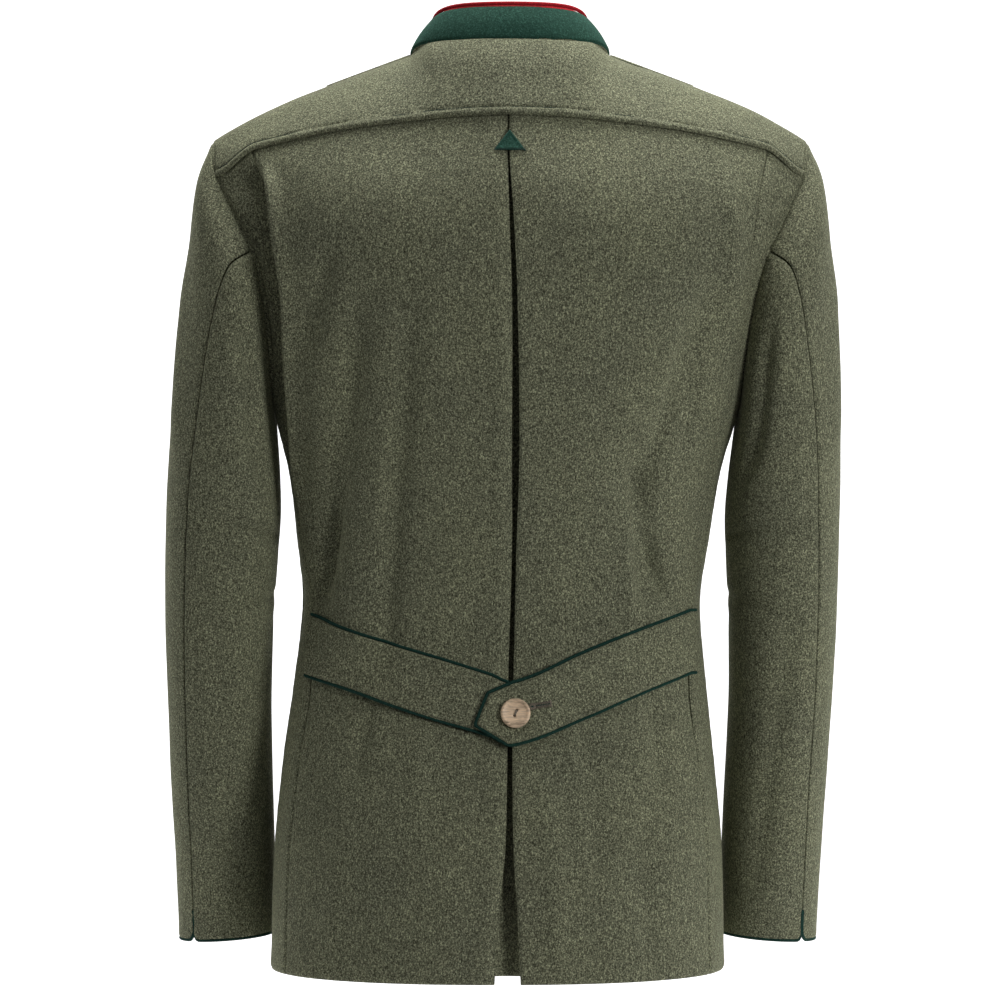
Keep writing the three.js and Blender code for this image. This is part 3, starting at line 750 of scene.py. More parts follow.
def back_surface(side):
    """Half of the back, from its edge of the pleat to the seam at the side."""
    def surface(u, v):
        s, z = inset(u, PANEL_WIDTH["back"]), panel_height(v, FIRST_TOP)
        for _ in range(4):
            pleat = along(PLEAT, "z", "left" if side > 0 else "right", z) - torso_row("sway", z)
            seam = torso_row("seam", z) * torso_row("half", z)
            angle = mix(angle_at(pleat, z), side * angle_at(seam, z), s)
            z = panel_height(v, top_under_yoke(angle))
        return torso(angle, z)
    return surface


def side_surface(side):
    """The narrow panel between the back's seam and the side, up to the armhole."""
    def surface(u, v):
        s, z = inset(u, PANEL_WIDTH["side"]), panel_height(v, FIRST_TOP)
        for _ in range(4):
            seam = angle_at(torso_row("seam", z) * torso_row("half", z), z)
            angle = side * mix(seam, outer_angle(z, False), s)
            z = panel_height(v, top_under_yoke(angle))
        return torso(angle, z)
    return surface


def underlay_surface(u, v):
    """The cloth behind the pleat, whose hem is a little higher."""
    z = mix(HEM + 6, YOKE["middle"] + 8, v)
    left = along(PLEAT, "z", "left", z) + PLEAT_DEPTH
    right = along(PLEAT, "z", "right", z) - PLEAT_DEPTH
    x = mix(left, right, u) - torso_row("sway", z)
    return torso(angle_at(x, z), z, -CLOTH - 1.0)


def yoke_surface(u, v):
    """The yoke: from its welt on the back, over the shoulder, to the neck and the shoulder seam."""
    end_x = float(along(ARMHOLE, "z", "back", -105.0))
    across = mix(-1, 1, inset(u, 2 * end_x))
    share, neck = np.abs(across), YOKE["neck"]
    beyond = np.clip((share - neck) / (1 - neck), 0, 1)
    seam_x = np.where(share < neck, 88 * share / neck, mix(88, end_x, beyond))
    seam_z = yoke_seam(seam_x) + 0.6
    lift = mix(YOKE["lift"], 1, ease((share - 0.9) / 0.1)) * (1 - ease(2 * v))
    turn = np.minimum(share / neck, 1) * math.pi / 2
    reach = float(along(ARMHOLE, "z", "back", SHOULDER_TIP))
    top_x = np.where(share < neck, NECK_HALF * np.sin(turn), mix(NECK_HALF, reach, beyond))
    z = mix(seam_z, shoulder_line(top_x), 1 - (1 - v) ** 1.7)
    over = torso(angle_at(mix(seam_x, top_x, v), z), z, lift)
    over[..., 1] += SEAM / 2
    low = torso(angle_at(seam_x, seam_z), seam_z, lift)
    high = neck_point(turn)
    span = np.linalg.norm(high - low, axis=-1)[..., None]
    up = np.array([0, -0.25, 1]) / math.hypot(0.25, 1) * span
    level = mix(1.1, 0.05, turn / (math.pi / 2))
    end = np.stack([0 * level, -1 + 0 * level, level], -1)
    end = end / np.linalg.norm(end, axis=-1)[..., None] * span
    t = v[..., None]
    bent = (
        low * (1 + t * t * (2 * t - 3)) + high * t * t * (3 - 2 * t)
        + up * t * (1 - t) ** 2 - end * t * t * (1 - t)
    )
    settled = mix(bent, over, ease((share - 0.22) / 0.18)[..., None])
    points = np.where((share < neck)[..., None], settled, over)
    points[..., 0] *= np.sign(across)
    return points


def front_surface(side):
    """A front, from its overlapping edge to the side and up to the neck and the shoulder seam."""
    edge = -LAP if side > 0 else UNDERLAP
    tip = float(along(ARMHOLE, "z", "front", SHOULDER_TIP))

    def surface(u, v):
        s = inset(u, PANEL_WIDTH["front"])
        k, beyond = np.minimum(2 * s, 1), np.maximum(s - 0.5, 0) / 0.5
        neck_x = mix(side * edge, NECK_HALF, np.sin(k * math.pi / 2))
        top_x = np.where(s < 0.5, neck_x, mix(NECK_HALF, tip, beyond))
        neck_turn = math.pi - np.arcsin(np.minimum(np.abs(top_x) / NECK_HALF, 1))
        neck_z = neck_point(neck_turn)[..., 2]
        top = np.where(s < 0.5, neck_z - 0.6 * (1 - k), shoulder_line(top_x))
        z = panel_height(v, top)

        def turned(x):
            angle = angle_at(x, z, True)
            return angle + np.where(side * angle < 0, side * 2 * math.pi, 0)

        level = mix(turned(edge - torso_row("sway", z)), side * outer_angle(z, True), s)
        wide = np.where(s < 0.5, neck_x, mix(NECK_HALF, along(ARMHOLE, "z", "front", z), beyond))
        angle = mix(level, turned(side * wide), ease((v - FAN_FROM) / (1 - FAN_FROM)))
        lift = -(CLOTH + FRONTS_APART) * ease((0.4 - s) / 0.16) if side < 0 else 0.0
        points = torso(angle, z, lift)
        points[..., 1] -= SEAM / 2
        return points
    return surface


def hem_and_seams(points, edges, seams=("left", "right"), hem=("low",), seam=("high",)):
    """Rolled edges: hems turn under softly, seams pull in sharply and pucker beside them."""
    z = points[..., 2] + points[..., 0] * 0.3
    rise = 0.0
    for name in hem:
        rise = rise + rolled(edges[name], 0.8, 1.2) + 0.35 * bell(edges[name] - 5, 3)
    for name in (*seams, *seam):
        rise = rise + rolled(edges[name], 0.9, 1.3) + 0.2 * bell(edges[name] - 4, 3)
        rise = rise + pucker(z if name in ("left", "right") else points[..., 0], edges[name])
    return rise


def scye_span(z):
    """How much of the sharp fold by the left armhole there is at a height."""
    return ease((z + 388) / 48) * ease((-92 - z) / 26)


def back_relief(side):
    def relief(points, edges):
        z = points[..., 2]
        at_pleat, at_seam = edges["left"], edges["right"]
        rise = hem_and_seams(points, edges, ("right",), seam=()) - 1.5 * bell(edges["high"], 6)
        if side > 0:
            rise += -2.4 * bell(at_pleat, 4) + 0.9 * bell(at_pleat - 10, 5)
            rise += (5.5 * bell(at_seam - 9, 6) - 11 * bell(at_seam, 4.5)) * scye_span(z)
            rise -= 1.4 * bell(at_seam - 28, 12) * scye_span(z)
        else:
            rise += -0.9 * bell(at_pleat, 1.4) + 0.3 * bell(at_pleat - 5, 4)
            rise += 0.9 * bell(at_seam - 5, 8) * scye_span(z) * ease((-z - 150) / 60)
        rise += 2.6 * bell(z + 446, 24) - 1.2 * bell(z + 520, 26)
        return rise
    return relief


def side_relief(side):
    def relief(points, edges):
        rise = hem_and_seams(points, edges, seam=()) - 1.5 * bell(edges["high"], 6)
        if side > 0:
            rise -= 13 * bell(edges["left"], 17) * scye_span(points[..., 2])
        return rise
    return relief


def underlay_relief(points, edges):
    middle = (edges["left"] - edges["right"]) / 2
    return -12 * bell(middle, 14) * ease(edges["high"] / 60) + rolled(edges["low"], 0.6, 1.2)


def yoke_relief(points, edges):
    welt = edges["low"]
    rise = 0.8 * bell(welt - 3, 2.6) - 0.9 * bell(welt - YOKE["groove"], 0.8) - 1.6 * bell(welt, 0.7)
    rise += pucker(points[..., 0], np.abs(welt - YOKE["groove"]), 5, 0.12)
    for name in ("left", "right", "high"):
        rise += rolled(edges[name], 0.9, 1.3) + pucker(points[..., 1], edges[name])
    return rise


def body_pieces():
    """The two halves of the back with the panels beside them, the underlay of the pleat, the yoke."""
    for side, name in SIDES:
        cloth(
            f"back_{name}", back_surface(side), spacing(190, 3), spacing(660, 4), back_relief(side),
        )
        cloth(
            f"side_{name}", side_surface(side), spacing(70, 4), spacing(640, 4), side_relief(side),
        )
    cloth(
        "pleat_underlay", underlay_surface, spacing(54, 4), spacing(660, 5), underlay_relief,
    )
    cloth(
        "yoke", yoke_surface, spacing(480, 3), spacing(110, 2), yoke_relief,
    )
    for side, name in SIDES:
        x = np.linspace(NECK_HALF + 2, 234, 40)
        seam_tape(f"shoulder_{name}_allowance", np.stack([side * x, 0 * x, shoulder_line(x) - 3.6], 1))
    line = grid(yoke_surface, np.linspace(0.006, 0.994, 200), np.array([0.0, 0.06]))
    up = line[1] - line[0]
    up /= np.linalg.norm(up, axis=1)[:, None]
    out = np.cross(np.gradient(line[0], axis=0), up)
    out *= (np.sign(out[:, 1]) / np.linalg.norm(out, axis=1))[:, None]
    seam = join(stitches(line[0] + up * YOKE["groove"] - out * 0.75, 2.4, 0.9, 0.28))
    add_object("yoke_topstitch", *seam, "loden", "green_thread")


def front_pieces():
    def relief(points, edges):
        return hem_and_seams(points, edges, ("right",), ("low", "left"))

    for side, name in SIDES:
        cloth(
            f"front_{name}", front_surface(side), spacing(300, 4), spacing(660, 4.5), relief,
        )


def collar_surface(rise, into):
    """The standing collar, raised past its edge and set inwards by distances; its foot is tucked
    under the neck's edge."""
    tucked, opening, swollen = 0.09, 0.05, 1.6

    def surface(u, v):
        turn = mix(-math.pi + opening, math.pi - opening, u)
        height = mix(-tucked, 1 + rise / COLLAR["top"], v)
        foot = neck_point(turn) + np.array([0, 0, 1.5])
        p = foot + (collar_top(turn) - foot) * height[..., None]
        swell = swollen * np.sin(math.pi * np.clip(height, 0, 1)) - into - 1.2 * ease(-height / tucked)
        radius = np.hypot(p[..., 0], p[..., 1])
        p[..., :2] *= (1 + swell / radius)[..., None]
        return p
    return surface


def collar_pieces():
    """A standing band of felt, and its red lining, which shows above the band's edge."""
    def band(points, edges):
        waves = pucker(points[..., 0], edges["low"], 5, 0.12)
        return rolled(edges["high"], 0.5, 1) + rolled(edges["low"], 0.8, 1.4) + waves

    cloth(
        "collar_outer", collar_surface(0, 0), spacing(420, 2.6), spacing(34, 2), band,
        "collar_felt", COLLAR_CLOTH, (0, 0, 0),
    )
    cloth(
        "collar_lining", collar_surface(2.6, 3.36), spacing(400, 2.6), spacing(34, 2),
        lambda points, edges: rolled(edges["high"], 0.4, 0.9),
        "red_wool", COLLAR_CLOTH, (0, 0, 0),
    )
    foot = neck_point(np.linspace(-math.pi + 0.08, math.pi - 0.08, 120))
    inward = -foot * np.array([1, 1, 0])
    inward /= np.linalg.norm(inward, axis=1)[:, None]
    seam_tape("neck_allowance", foot + inward * 3.6 - np.array([0, 0, 1.0]), "collar_felt")
    rim = grid(collar_surface(2.6, 0.9), np.linspace(0.003, 0.997, 160), np.array([0.985, 1.0]))[1]
    add_object("collar_red_edge", *cord_mesh(rim, 1.5), "red_wool")


# The sleeves

VENT, VENT_GAP = 26.0, 0.4  # height of the slit at the cuff, and how far each edge is from the seam
VENT_CORNER = {True: 9.0, False: 5.0}  # radius of its corner on the upper and on the under sleeve
SLEEVE_LENGTH, SLEEVE_ROUND = 640.0, 265.0
SLEEVE_SEAM = 0.00125  # the share of the round left open at the front seam
SLEEVE_MIDDLE = 222.0  # x of the middle of a sleeve


def vent_edge(side, upper, e, drop):
    """A point near the hem of a sleeve: e from the back seam, drop above the hem, in millimetres."""
    at = 1 - drop / SLEEVE_LENGTH
    back = along(SLEEVE_SEAMS, "at", "back", at)
    turn = back - e / SLEEVE_ROUND if upper else back + e / SLEEVE_ROUND
    return sleeve_point(side, at, turn)


def sleeve_surface(side, upper):
    corner = VENT_CORNER[upper]

    def surface(u, v):
        at = mix(0.0005, 1, v)
        for _ in range(2):
            back = along(SLEEVE_SEAMS, "at", "back", at)
            front = along(SLEEVE_SEAMS, "at", "front", at)
            into_vent = VENT - (1 - at) * SLEEVE_LENGTH
            gap = mix(SEAM, VENT_GAP, ease(into_vent / 4)) / SLEEVE_ROUND
            if upper:
                turn = mix(front + SLEEVE_SEAM, back - gap, u)
                e = (back - turn) * SLEEVE_ROUND - VENT_GAP
            else:
                turn = mix(back + gap, front + 1 - SLEEVE_SEAM, u)
                e = (turn - back) * SLEEVE_ROUND - VENT_GAP
            short = np.clip(corner - e, 0, corner)
            lifted = corner - np.sqrt(corner * corner - short * short)
            at = mix(0.0005, 1 - lifted / SLEEVE_LENGTH, v)
        return sleeve_point(side, at, turn)
    return surface


def sleeve_folds(at, turn):
    """The depth of the folds at a share of the sleeve's length and a turn round it."""
    rows = {
        "x0": SLEEVE_FOLDS["at0"] * SLEEVE_LENGTH, "z0": SLEEVE_FOLDS["turn0"] * SLEEVE_ROUND,
        "x1": SLEEVE_FOLDS["at1"] * SLEEVE_LENGTH, "z1": SLEEVE_FOLDS["turn1"] * SLEEVE_ROUND,
        "wide": SLEEVE_FOLDS["wide"], "deep": SLEEVE_FOLDS["deep"],
    }
    x = at * SLEEVE_LENGTH
    return sum(fold_depth(rows, x, (turn + k) * SLEEVE_ROUND) for k in (-1, 0, 1))


def sleeve_pieces():
    for side, name in SIDES:
        for upper in (True, False):
            us = spacing(190 if upper else 140, 3.6)
            vs = spacing(SLEEVE_LENGTH, 4)
            u, v = np.meshgrid(us, vs)
            at = mix(0.005, 1, v)
            back, front = (along(SLEEVE_SEAMS, "at", key, at) for key in ("back", "front"))
            turn = mix(front, back, u) if upper else mix(back, front + 1, u)
            folds = sleeve_folds(at, turn)

            def relief(points, edges, folds=folds):
                edged = hem_and_seams(points, edges, hem=("high",), seam=("low",))
                return edged - FOLD_SHARE * folds

            part = "upper" if upper else "under"
            cloth(
                f"sleeve_{part}_{name}", sleeve_surface(side, upper), us, vs, relief,
                inside=(side * SLEEVE_MIDDLE, -10, -400),
            )
        ring = sleeve_point(side, 0.0, np.linspace(0, 1, 90))
        centre = ring.mean(0)
        inward = (centre - ring) / np.linalg.norm(centre - ring, axis=1)[:, None]
        seam_tape(f"armhole_{name}_allowance", ring + inward * 3.2 - np.array([side * 1.5, 0, 0]))
        cord = add_object(f"cuff_piping_{name}_cord", *cord_mesh(cuff_path(side), 1.35), "piping_felt")
        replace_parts(cord, f"cuff_piping_{name}")


def cuff_path(side):
    """Along one edge of the vent, round the hem, and up the vent's other edge."""
    def edge(upper):
        corner = VENT_CORNER[upper]
        straight = [(VENT_GAP, d) for d in np.linspace(VENT, corner, 10)]
        turns = np.linspace(0, math.pi / 2, 7)[1:]
        arc = [(VENT_GAP + corner * (1 - math.cos(a)), corner * (1 - math.sin(a))) for a in turns]
        return [vent_edge(side, upper, e + 0.5, d - 0.6) for e, d in straight + arc]

    start, end = edge(True), edge(False)[::-1]
    back = float(along(SLEEVE_SEAMS, "at", "back", 1.0))
    turns = np.linspace(back - 12 / SLEEVE_ROUND, back - 1 + 8 / SLEEVE_ROUND, 90)
    hem = [sleeve_point(side, 1 + 0.6 / SLEEVE_LENGTH, t) for t in turns]
    path = resample(np.array(start + hem + end), 2.2)
    centre = np.array([side * SLEEVE_MIDDLE, float(SLEEVE["y"][-1]), 0])
    inward = (centre - path) * np.array([1, 1, 0])
    return path + inward / np.linalg.norm(inward, axis=1)[:, None] * CLOTH / 2


# The half-belt, the triangle over the pleat and the buttons

def on_back(x, z, lift):
    return torso(angle_at(x - torso_row("sway", z), z), z, lift)


def strap_lift(side, x):
    over = 1 + ease((x + 50) / 28) if side < 0 else 1.0
    return (BELT_CLOTH + BELT_GAP) * over + ease((np.abs(x) - 120) / 40)


def strap_place(side, u, v):
    """x and z of a place on a strap: u from the side seam to its end, v from its lower edge up."""
    start = side * BELT_REACH + BELT_SWAY
    if side > 0:
        x = mix(start, LEFT_STRAP_END, u**1.15)
        bent = np.maximum(x, 6.0)
        z = mix(along(BELT, "x", "bottom", bent), along(BELT, "x", "top", bent), v)
        return x, z + 0.34 * (x - bent)
    a, b = (TAB_POINT, TAB_LOWER), (TAB_LOWER, TAB_UPPER)
    k = np.where(v < 0.5, v * 2, v * 2 - 1)
    end_x, end_z = (np.where(v < 0.5, mix(a[0][i], a[1][i], k), mix(b[0][i], b[1][i], k)) for i in (0, 1))
    x = mix(start, end_x, u**1.15)

    def plain(at):
        at = np.minimum(at, TAB_POINT[0])
        return mix(along(BELT, "x", "bottom", at), along(BELT, "x", "top", at), v)

    return x, plain(x) + (end_z - plain(end_x)) * np.clip((x + 2) / (end_x + 2), 0, 1)


def strap_surface(side):
    def surface(u, v):
        x, z = strap_place(side, u, v)
        return on_back(x, z, strap_lift(side, x))
    return surface


def strap_relief(ends):
    """A turned edge all round, with a line of stitching set in from it."""
    stitched = 5.4

    def relief(points, edges):
        near = np.minimum.reduce([edges["low"], edges["high"]] + [edges[name] for name in ends])
        rise = -1.1 * bell(near, 1.0) + 0.5 * bell(near - 2.6, 1.7) - 0.35 * bell(near - stitched, 0.9)
        return rise + pucker(points[..., 0], np.abs(near - stitched), 4, 0.14)
    return relief


def strap_piping(node, side, places, out):
    """A cord of felt set in the edge of a strap, along (u, v) places on it."""
    u, v = np.array(places, float).T
    x, z = strap_place(side, u, v)
    run = np.stack([x, z], 1)
    way = np.gradient(run, axis=0)
    way /= np.linalg.norm(way, axis=1)[:, None]
    x2, z2 = x + way[:, 1] * out, z - way[:, 0] * out
    path = on_back(x2, z2, strap_lift(side, x) - BELT_CLOTH / 2 - 0.2)
    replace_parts(add_object(f"{node}_cord", *cord_mesh(resample(path, 1.6), 1.3), "piping_felt"), node)


def belt_pieces():
    cloth(
        "half_belt_left", strap_surface(1), spacing(190, 2.4), spacing(46, 2), strap_relief([]),
        thick=BELT_CLOTH,
    )
    cloth(
        "half_belt_right", strap_surface(-1), spacing(170, 2.4), spacing(46, 2), strap_relief(["right"]),
        thick=BELT_CLOTH,
    )
    t = np.linspace(0, 1, 90)
    strap_piping("belt_piping_left_upper", 1, [(k, 1) for k in t], 1.1)
    strap_piping("belt_piping_left_lower", 1, [(k, 0) for k in t], -1.1)
    tab = [(k, 0) for k in t] + [(1, k) for k in t[1:]] + [(k, 1) for k in t[-2::-1]]
    strap_piping("belt_piping_right", -1, tab, 1.1)


def triangle_surface(u, v):
    return on_back(0.5 + mix(-1, 1, u) * mix(12.6, 0.5, v), mix(-92, -76, v), 1.9)


def triangle_piece():
    """The felt triangle that holds the top of the pleat, with its edges sewn over."""
    def relief(points, edges):
        near = np.minimum.reduce([edges["left"], edges["right"], edges["low"]])
        return 0.5 * bell(near - 1.6, 1.2) - 0.6 * bell(near, 0.6) - 0.3 * bell(near - 3.2, 0.6)

    cloth(
        "pleat_triangle", triangle_surface, spacing(25, 1), spacing(17, 1), relief,
        "collar_felt", 1.5,
    )
    k = np.linspace(0, 1, 40)
    sides = [(0 * k, k), (1 - 0 * k, 1 - k), (1 - k, 0 * k)]
    made = []
    for u, v in sides:
        rim = triangle_surface(u, v) + np.array([0, 0.35, 0])
        middle = triangle_surface(np.array(0.5), np.array(0.3)) + np.array([0, 0.35, 0])
        inward = (middle - rim) / np.linalg.norm(middle - rim, axis=1)[:, None]
        way = np.gradient(rim, axis=0)
        way /= np.linalg.norm(way, axis=1)[:, None]
        made += stitches(rim + inward * 1.1, 1.5, 0.1, 0.3, inward + way * 0.35)
    add_object("pleat_triangle_stitches", *join(made), "collar_felt", "green_thread")


def lathe(profile, sides=72):
    """A turned solid from (radius, height) pairs that run from the axis, round, and back to it."""
    around = np.arange(sides) * 2 * math.pi / sides
    r, z = np.array(profile[1:-1], float).T
    ring = np.stack([np.cos(around), np.sin(around)], 1)
    heights = np.broadcast_to(z[:, None, None], (len(z), sides, 1))
    body = np.concatenate([r[:, None, None] * ring, heights], 2)
    verts = np.concatenate([body.reshape(-1, 3), [(0, 0, profile[0][1]), (0, 0, profile[-1][1])]])
    low, high = len(verts) - 2, len(verts) - 1
    faces = []
    for k in range(sides):
        m = (k + 1) % sides
        faces.append((low, m, k))
        last = (len(r) - 1) * sides
        faces.append((high, last + k, last + m))
        for i in range(len(r) - 1):
            a = i * sides
            faces.append((a + k, a + m, a + sides + m, a + sides + k))
    return verts, faces


BUTTON_PROFILE = [
    (0, 0), (8.6, 0), (10.4, 0.25), (11.3, 0.9), (11.6, 1.8), (11.35, 2.8), (10.7, 3.45), (10.0, 3.6),
    (9.3, 3.45), (8.7, 3.0), (8.0, 2.7), (5.0, 2.45), (2.4, 2.38), (0, 2.36),
]
BUTTON_HOLE, BUTTON_HOLES_APART, BUTTON_TURNED = 1.1, 4.4, math.radians(70)


def button(node, point, out):
    """A turned button with two holes, sewn on with a bar of thread, lying on the cloth at a point."""
    turn = Vector((0, 0, 1)).rotation_difference(Vector(out)).to_matrix()
    along_holes = np.array([math.cos(BUTTON_TURNED), math.sin(BUTTON_TURNED), 0])

    def placed(verts):
        return np.asarray(verts) @ np.array(turn).T + point

    verts, faces = lathe(BUTTON_PROFILE)
    wooden = add_object(f"{node}_wood", placed(verts), faces, "button_wood", sharp=50)
    cutters = []
    for end in (-1, 1):
        hole = lathe([(0, -2), (BUTTON_HOLE, -2), (BUTTON_HOLE, 2.1), (BUTTON_HOLE + 0.5, 2.7), (0, 2.8)],
                     24)
        centre = along_holes * end * BUTTON_HOLES_APART / 2
        mesh = bpy.data.meshes.new("hole")
        mesh.from_pydata((placed(hole[0] + centre) * MM).tolist(), [], hole[1])
        cutter = bpy.data.objects.new("hole", mesh)
        bpy.context.scene.collection.objects.link(cutter)
        drill = wooden.modifiers.new("hole", "BOOLEAN")
        drill.object, drill.operation, drill.solver = cutter, "DIFFERENCE", "EXACT"
        cutters.append(cutter)
    bpy.context.view_layer.update()
    cut = bpy.data.meshes.new_from_object(wooden.evaluated_get(bpy.context.evaluated_depsgraph_get()))
    wooden.modifiers.clear()
    wooden.data = cut
    for cutter in cutters:
        bpy.data.objects.remove(cutter, do_unlink=True)
    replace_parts(wooden, node)
    across = np.cross([0, 0, 1], along_holes)
    half = BUTTON_HOLES_APART / 2
    shape = [(-1, 0.6), (-1, 2.2), (-0.72, 2.85), (0, 3.0), (0.72, 2.85), (1, 2.2), (1, 0.6)]
    strands = []
    for shift in (-0.42, 0.05, 0.45):
        path = [along_holes * a * half + across * shift + np.array([0, 0, z]) for a, z in shape]
        strands.append(cord_mesh(placed(resample(path, 0.4)), 0.32, 7))
    add_object(f"{node}_wood_thread", *join(strands), "button_wood", "grey_thread")


def outward(place, x, z):
    """The outward direction of a surface place(x, z) on the back or the front."""
    n = np.cross(place(x + 1, z) - place(x - 1, z), place(x, z + 1) - place(x, z - 1))
    n = n / np.linalg.norm(n)
    return n * np.sign(n[1] * place(x, z)[1])


def buttonhole(name, place, start, end):
    """A keyhole buttonhole from its round end to its bar: a cut between two rows of close stitches, with
    dark cords laid in the cut and the round hole as painted shade.
    """
    line = resample([(*start, 0), (*end, 0)], 0.8)[:, :2]
    way = (line[-1] - line[0]) / np.linalg.norm(line[-1] - line[0])
    over = np.array([-way[1], way[0]])

    def lay(flat, lift):
        p = np.array([place(x, z) for x, z in flat])
        return p + outward(place, *flat[0]) * lift

    made = []
    for p in line:
        for row in (-1, 1):
            made.append(cord_mesh(lay([p + over * row * k for k in (0.55, 1.2, 2.1)], 0.15), 0.26, 6))
    for angle in np.arange(0, 2 * math.pi, 0.36):
        ray = np.array([math.cos(angle), math.sin(angle)])
        made.append(cord_mesh(lay([line[0] + ray * k for k in (1.0, 1.7, 2.6)], 0.15), 0.26, 6))
    for shift in (-0.3, 0.3):
        bar = [line[-1] + way * shift + over * k for k in (-2.4, 0, 2.4)]
        made.append(cord_mesh(lay(bar, 0.3), 0.3, 6))
    add_object(f"{name}_stitches", *join(made), "loden", "grey_thread")
    # Painted shade: dark cords in the thread's colour fill the slit and the round hole, where there is
    # only shadow.
    slit = cord_mesh(lay(line, -0.05), 0.4, 6)
    eyelet_shade = cord_mesh(lay([line[0] - way * 0.5, line[0] + way * 0.5], -0.05), 0.85, 10)
    add_object(f"{name}_slit", *join([slit, eyelet_shade]), "loden", "green_thread")


def button_pieces():
    def strap(x, z):
        return on_back(np.array(float(x)), np.array(float(z)), strap_lift(-1, float(x)))

    def front(x, z):
        angle = angle_at(x - torso_row("sway", float(z)), float(z), True)
        return torso(angle, np.array(float(z)))

    out = outward(strap, *BELT_BUTTON)
    button("belt_button", strap(*BELT_BUTTON) + out * 0.5, out)
    buttonhole("belt_buttonhole", strap, (-16.6, -522.6), (-30.7, -520.4))
    for i, z in enumerate(FRONT_BUTTON_HEIGHTS, 1):
        out = outward(front, 0.0, z)
        button(f"front_button_{i}", front(0.0, z) + out * 0.7, out)
        buttonhole(f"front_buttonhole_{i}", front, (-3.0, z), (13.6, z))


def add_light(name, place, aim, size, watts):
    data = bpy.data.lights.new(name, "AREA")
    data.shape, data.size, data.energy = "SQUARE", size, watts
    light = bpy.data.objects.new(name, data)
    light.location = place
    light.rotation_euler = (Vector(aim) - Vector(place)).to_track_quat("-Z", "Y").to_euler()
    bpy.context.scene.collection.objects.link(light)
    return light


def white_paper():
    """Matt white paper that scatters most of the light and glows a little, so that it reads as
    evenly lit; faint fibres keep it from looking flat."""
    material, tree = blank_material("white_paper")
    place = add_node(tree, "ShaderNodeTexCoord").outputs["Object"]
    fibres = noise(tree, place, 300.0, 3.0)
    tint = ramp(tree, fibres, (0.2, grey(0.9)), (0.8, grey(0.94)))
    finish_surface(tree, fibres, 0.0, 0.0001, [
        ("Base Color", tint), ("Roughness", 0.9), ("Specular IOR Level", 0.1),
        ("Emission Color", grey(1.0)), ("Emission Strength", 0.75),
    ])
    return material


def build_stage():
    """A white sweep behind and far below the jacket, a large light above it, and the camera."""
    chosen = settings()
    floor = chosen.floor_height
    bend = np.linspace(0, math.pi / 2, 13)
    profile = [(0.4, floor)] + [(-4.6 - 0.6 * math.sin(a), floor + 0.6 * (1 - math.cos(a))) for a in bend]
    profile.append((-5.2, 3.6))
    verts = [(x, y, z) for y, z in profile for x in (-8.0, 8.0)]
    faces = [(2 * i, 2 * i + 1, 2 * i + 3, 2 * i + 2) for i in range(len(profile) - 1)]
    mesh = bpy.data.meshes.new("sweep")
    mesh.from_pydata(verts, [], faces)
    mesh.polygons.foreach_set("use_smooth", [True] * len(faces))
    mesh.materials.append(white_paper())
    sweep = bpy.data.objects.new("sweep", mesh)
    bpy.context.scene.collection.objects.link(sweep)
    add_light("top_light", (-0.05, -0.16, 1.2), (0, 0.0, -0.1), 0.6, chosen.top_light)
    add_light("fill_light", (-2.2, 2.4, 0.1), (0, 0, -0.4), 1.0, chosen.fill_light)
    world = bpy.data.worlds.new("room")
    world.use_nodes = True
    tree = world.node_tree
    way = add_node(tree, "ShaderNodeTexCoord").outputs["Generated"]
    height = add_node(tree, "ShaderNodeSeparateXYZ", [("Vector", way)]).outputs["Z"]
    raised = add_node(tree, "ShaderNodeMath", [(0, height), (1, 0.5), (2, 0.5)], operation="MULTIPLY_ADD")
    greys = [(at, grey(level)) for at, level in ((0.3, 0.06), (0.5, 0.12), (0.7, 0.2), (1, 0.45))]
    tree.links.new(ramp(tree, raised.outputs[0], *greys), tree.nodes["Background"].inputs["Color"])
    bpy.context.scene.world = world
    data = bpy.data.cameras.new("camera")
    data.lens, data.sensor_width = 144.0, 36.0
    camera = bpy.data.objects.new("camera", data)
    camera.location = (0.008, 3.2, -0.363)
    camera.rotation_euler = (math.pi / 2, 0, math.pi)
    bpy.context.scene.collection.objects.link(camera)
    bpy.context.scene.camera = camera
    bpy.context.scene.view_settings.view_transform = "Standard"


def colour_of(name, text, hex_colour):
    return bpy.props.FloatVectorProperty(
        name=name, description=text, subtype="COLOR", size=3, min=0, max=1, default=linear(hex_colour)[:3],
    )


class JacketSettings(bpy.types.PropertyGroup):
    loden: colour_of("Loden", "Colour of the milled wool cloth", "#70725c")
    felt: colour_of("Collar felt", "Colour of the collar and the triangle", "#2a4d41")
    red: colour_of("Lining", "Colour of the collar's lining", "#b4202a")
    piping: colour_of("Piping", "Colour of the pipings", "#1b3a32")
    wood: colour_of("Buttons", "Colour of the turned wood", "#f0d2b0")
    thread: colour_of("Thread", "Colour of the buttonhole thread", "#857b6b")
    floor_height: bpy.props.FloatProperty(
        name="Floor", description="Height of the white floor", unit="LENGTH", default=-1.35,
    )
    top_light: bpy.props.FloatProperty(
        name="Top light", description="Power of the light above", unit="POWER", default=21.0, min=0,
    )
    fill_light: bpy.props.FloatProperty(
        name="Fill light", description="Power of the weak light beside the camera", unit="POWER",
        default=38.0, min=0,
    )


class JACKET_OT_back(bpy.types.Operator):
    """Build the two halves of the back, the panels at the sides, the pleat and the yoke"""
    bl_idname = "jacket.back"
    bl_label = "Back and yoke"

    def execute(self, context):
        body_pieces()
        return {"FINISHED"}


class JACKET_OT_fronts(bpy.types.Operator):
    """Build the two fronts, which lap in the middle"""
    bl_idname = "jacket.fronts"
    bl_label = "Fronts"

    def execute(self, context):
        front_pieces()
        return {"FINISHED"}


class JACKET_OT_collar(bpy.types.Operator):
    """Build the felt collar and its red lining"""
    bl_idname = "jacket.collar"
    bl_label = "Collar"

    def execute(self, context):
        collar_pieces()
        return {"FINISHED"}


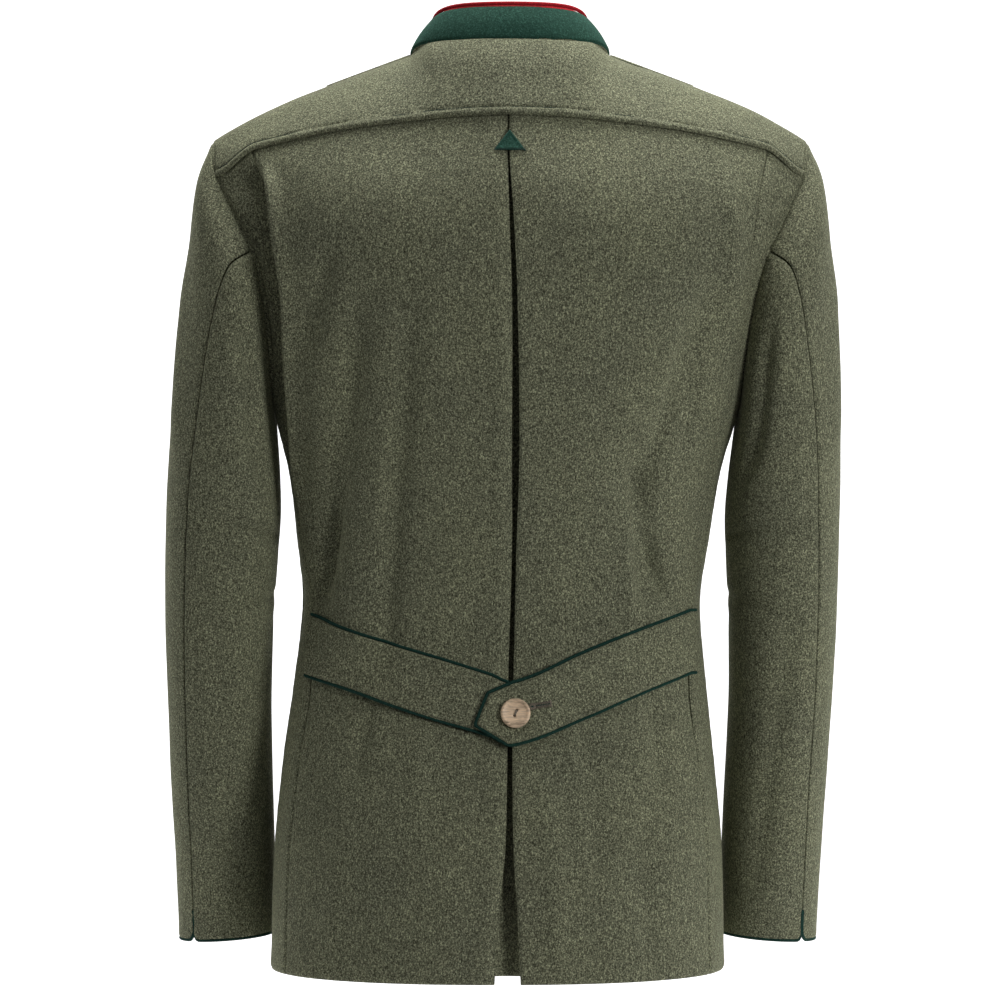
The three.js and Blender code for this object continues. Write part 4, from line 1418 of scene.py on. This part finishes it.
class JACKET_OT_sleeves(bpy.types.Operator):
    """Build both sleeves, each of an upper and an under piece, with their piped hems and vents"""
    bl_idname = "jacket.sleeves"
    bl_label = "Sleeves"

    def execute(self, context):
        sleeve_pieces()
        return {"FINISHED"}


class JACKET_OT_half_belt(bpy.types.Operator):
    """Build the two straps of the half-belt and their pipings"""
    bl_idname = "jacket.half_belt"
    bl_label = "Half-belt"

    def execute(self, context):
        belt_pieces()
        return {"FINISHED"}


class JACKET_OT_triangle(bpy.types.Operator):
    """Build the felt triangle over the top of the pleat"""
    bl_idname = "jacket.triangle"
    bl_label = "Triangle"

    def execute(self, context):
        triangle_piece()
        return {"FINISHED"}


class JACKET_OT_buttons(bpy.types.Operator):
    """Turn the wooden buttons, sew them on, and work their buttonholes"""
    bl_idname = "jacket.buttons"
    bl_label = "Buttons"

    def execute(self, context):
        button_pieces()
        return {"FINISHED"}


class JACKET_OT_stage(bpy.types.Operator):
    """Set up the white sweep, the lights and the camera"""
    bl_idname = "jacket.stage"
    bl_label = "Stage"

    def execute(self, context):
        build_stage()
        return {"FINISHED"}


OPERATORS = (
    JACKET_OT_back, JACKET_OT_fronts, JACKET_OT_collar, JACKET_OT_sleeves, JACKET_OT_half_belt,
    JACKET_OT_triangle, JACKET_OT_buttons, JACKET_OT_stage,
)


class JACKET_PT_sidebar(bpy.types.Panel):
    bl_label = "Loden Jacket"
    bl_idname = "JACKET_PT_sidebar"
    bl_space_type = "VIEW_3D"
    bl_region_type = "UI"
    bl_category = "Jacket"

    def draw(self, context):
        for name in JacketSettings.__annotations__:
            self.layout.prop(context.scene.jacket, name)
        for operator in OPERATORS:
            self.layout.operator(operator.bl_idname)


def register():
    for kind in (JacketSettings, *OPERATORS, JACKET_PT_sidebar):
        bpy.utils.register_class(kind)
    bpy.types.Scene.jacket = bpy.props.PointerProperty(type=JacketSettings)


def unregister():
    del bpy.types.Scene.jacket
    for kind in reversed((JacketSettings, *OPERATORS, JACKET_PT_sidebar)):
        bpy.utils.unregister_class(kind)


def main():
    register()
    for operator in OPERATORS:
        family, name = operator.bl_idname.split(".")
        getattr(getattr(bpy.ops, family), name)()


if __name__ == "__main__":
    main()
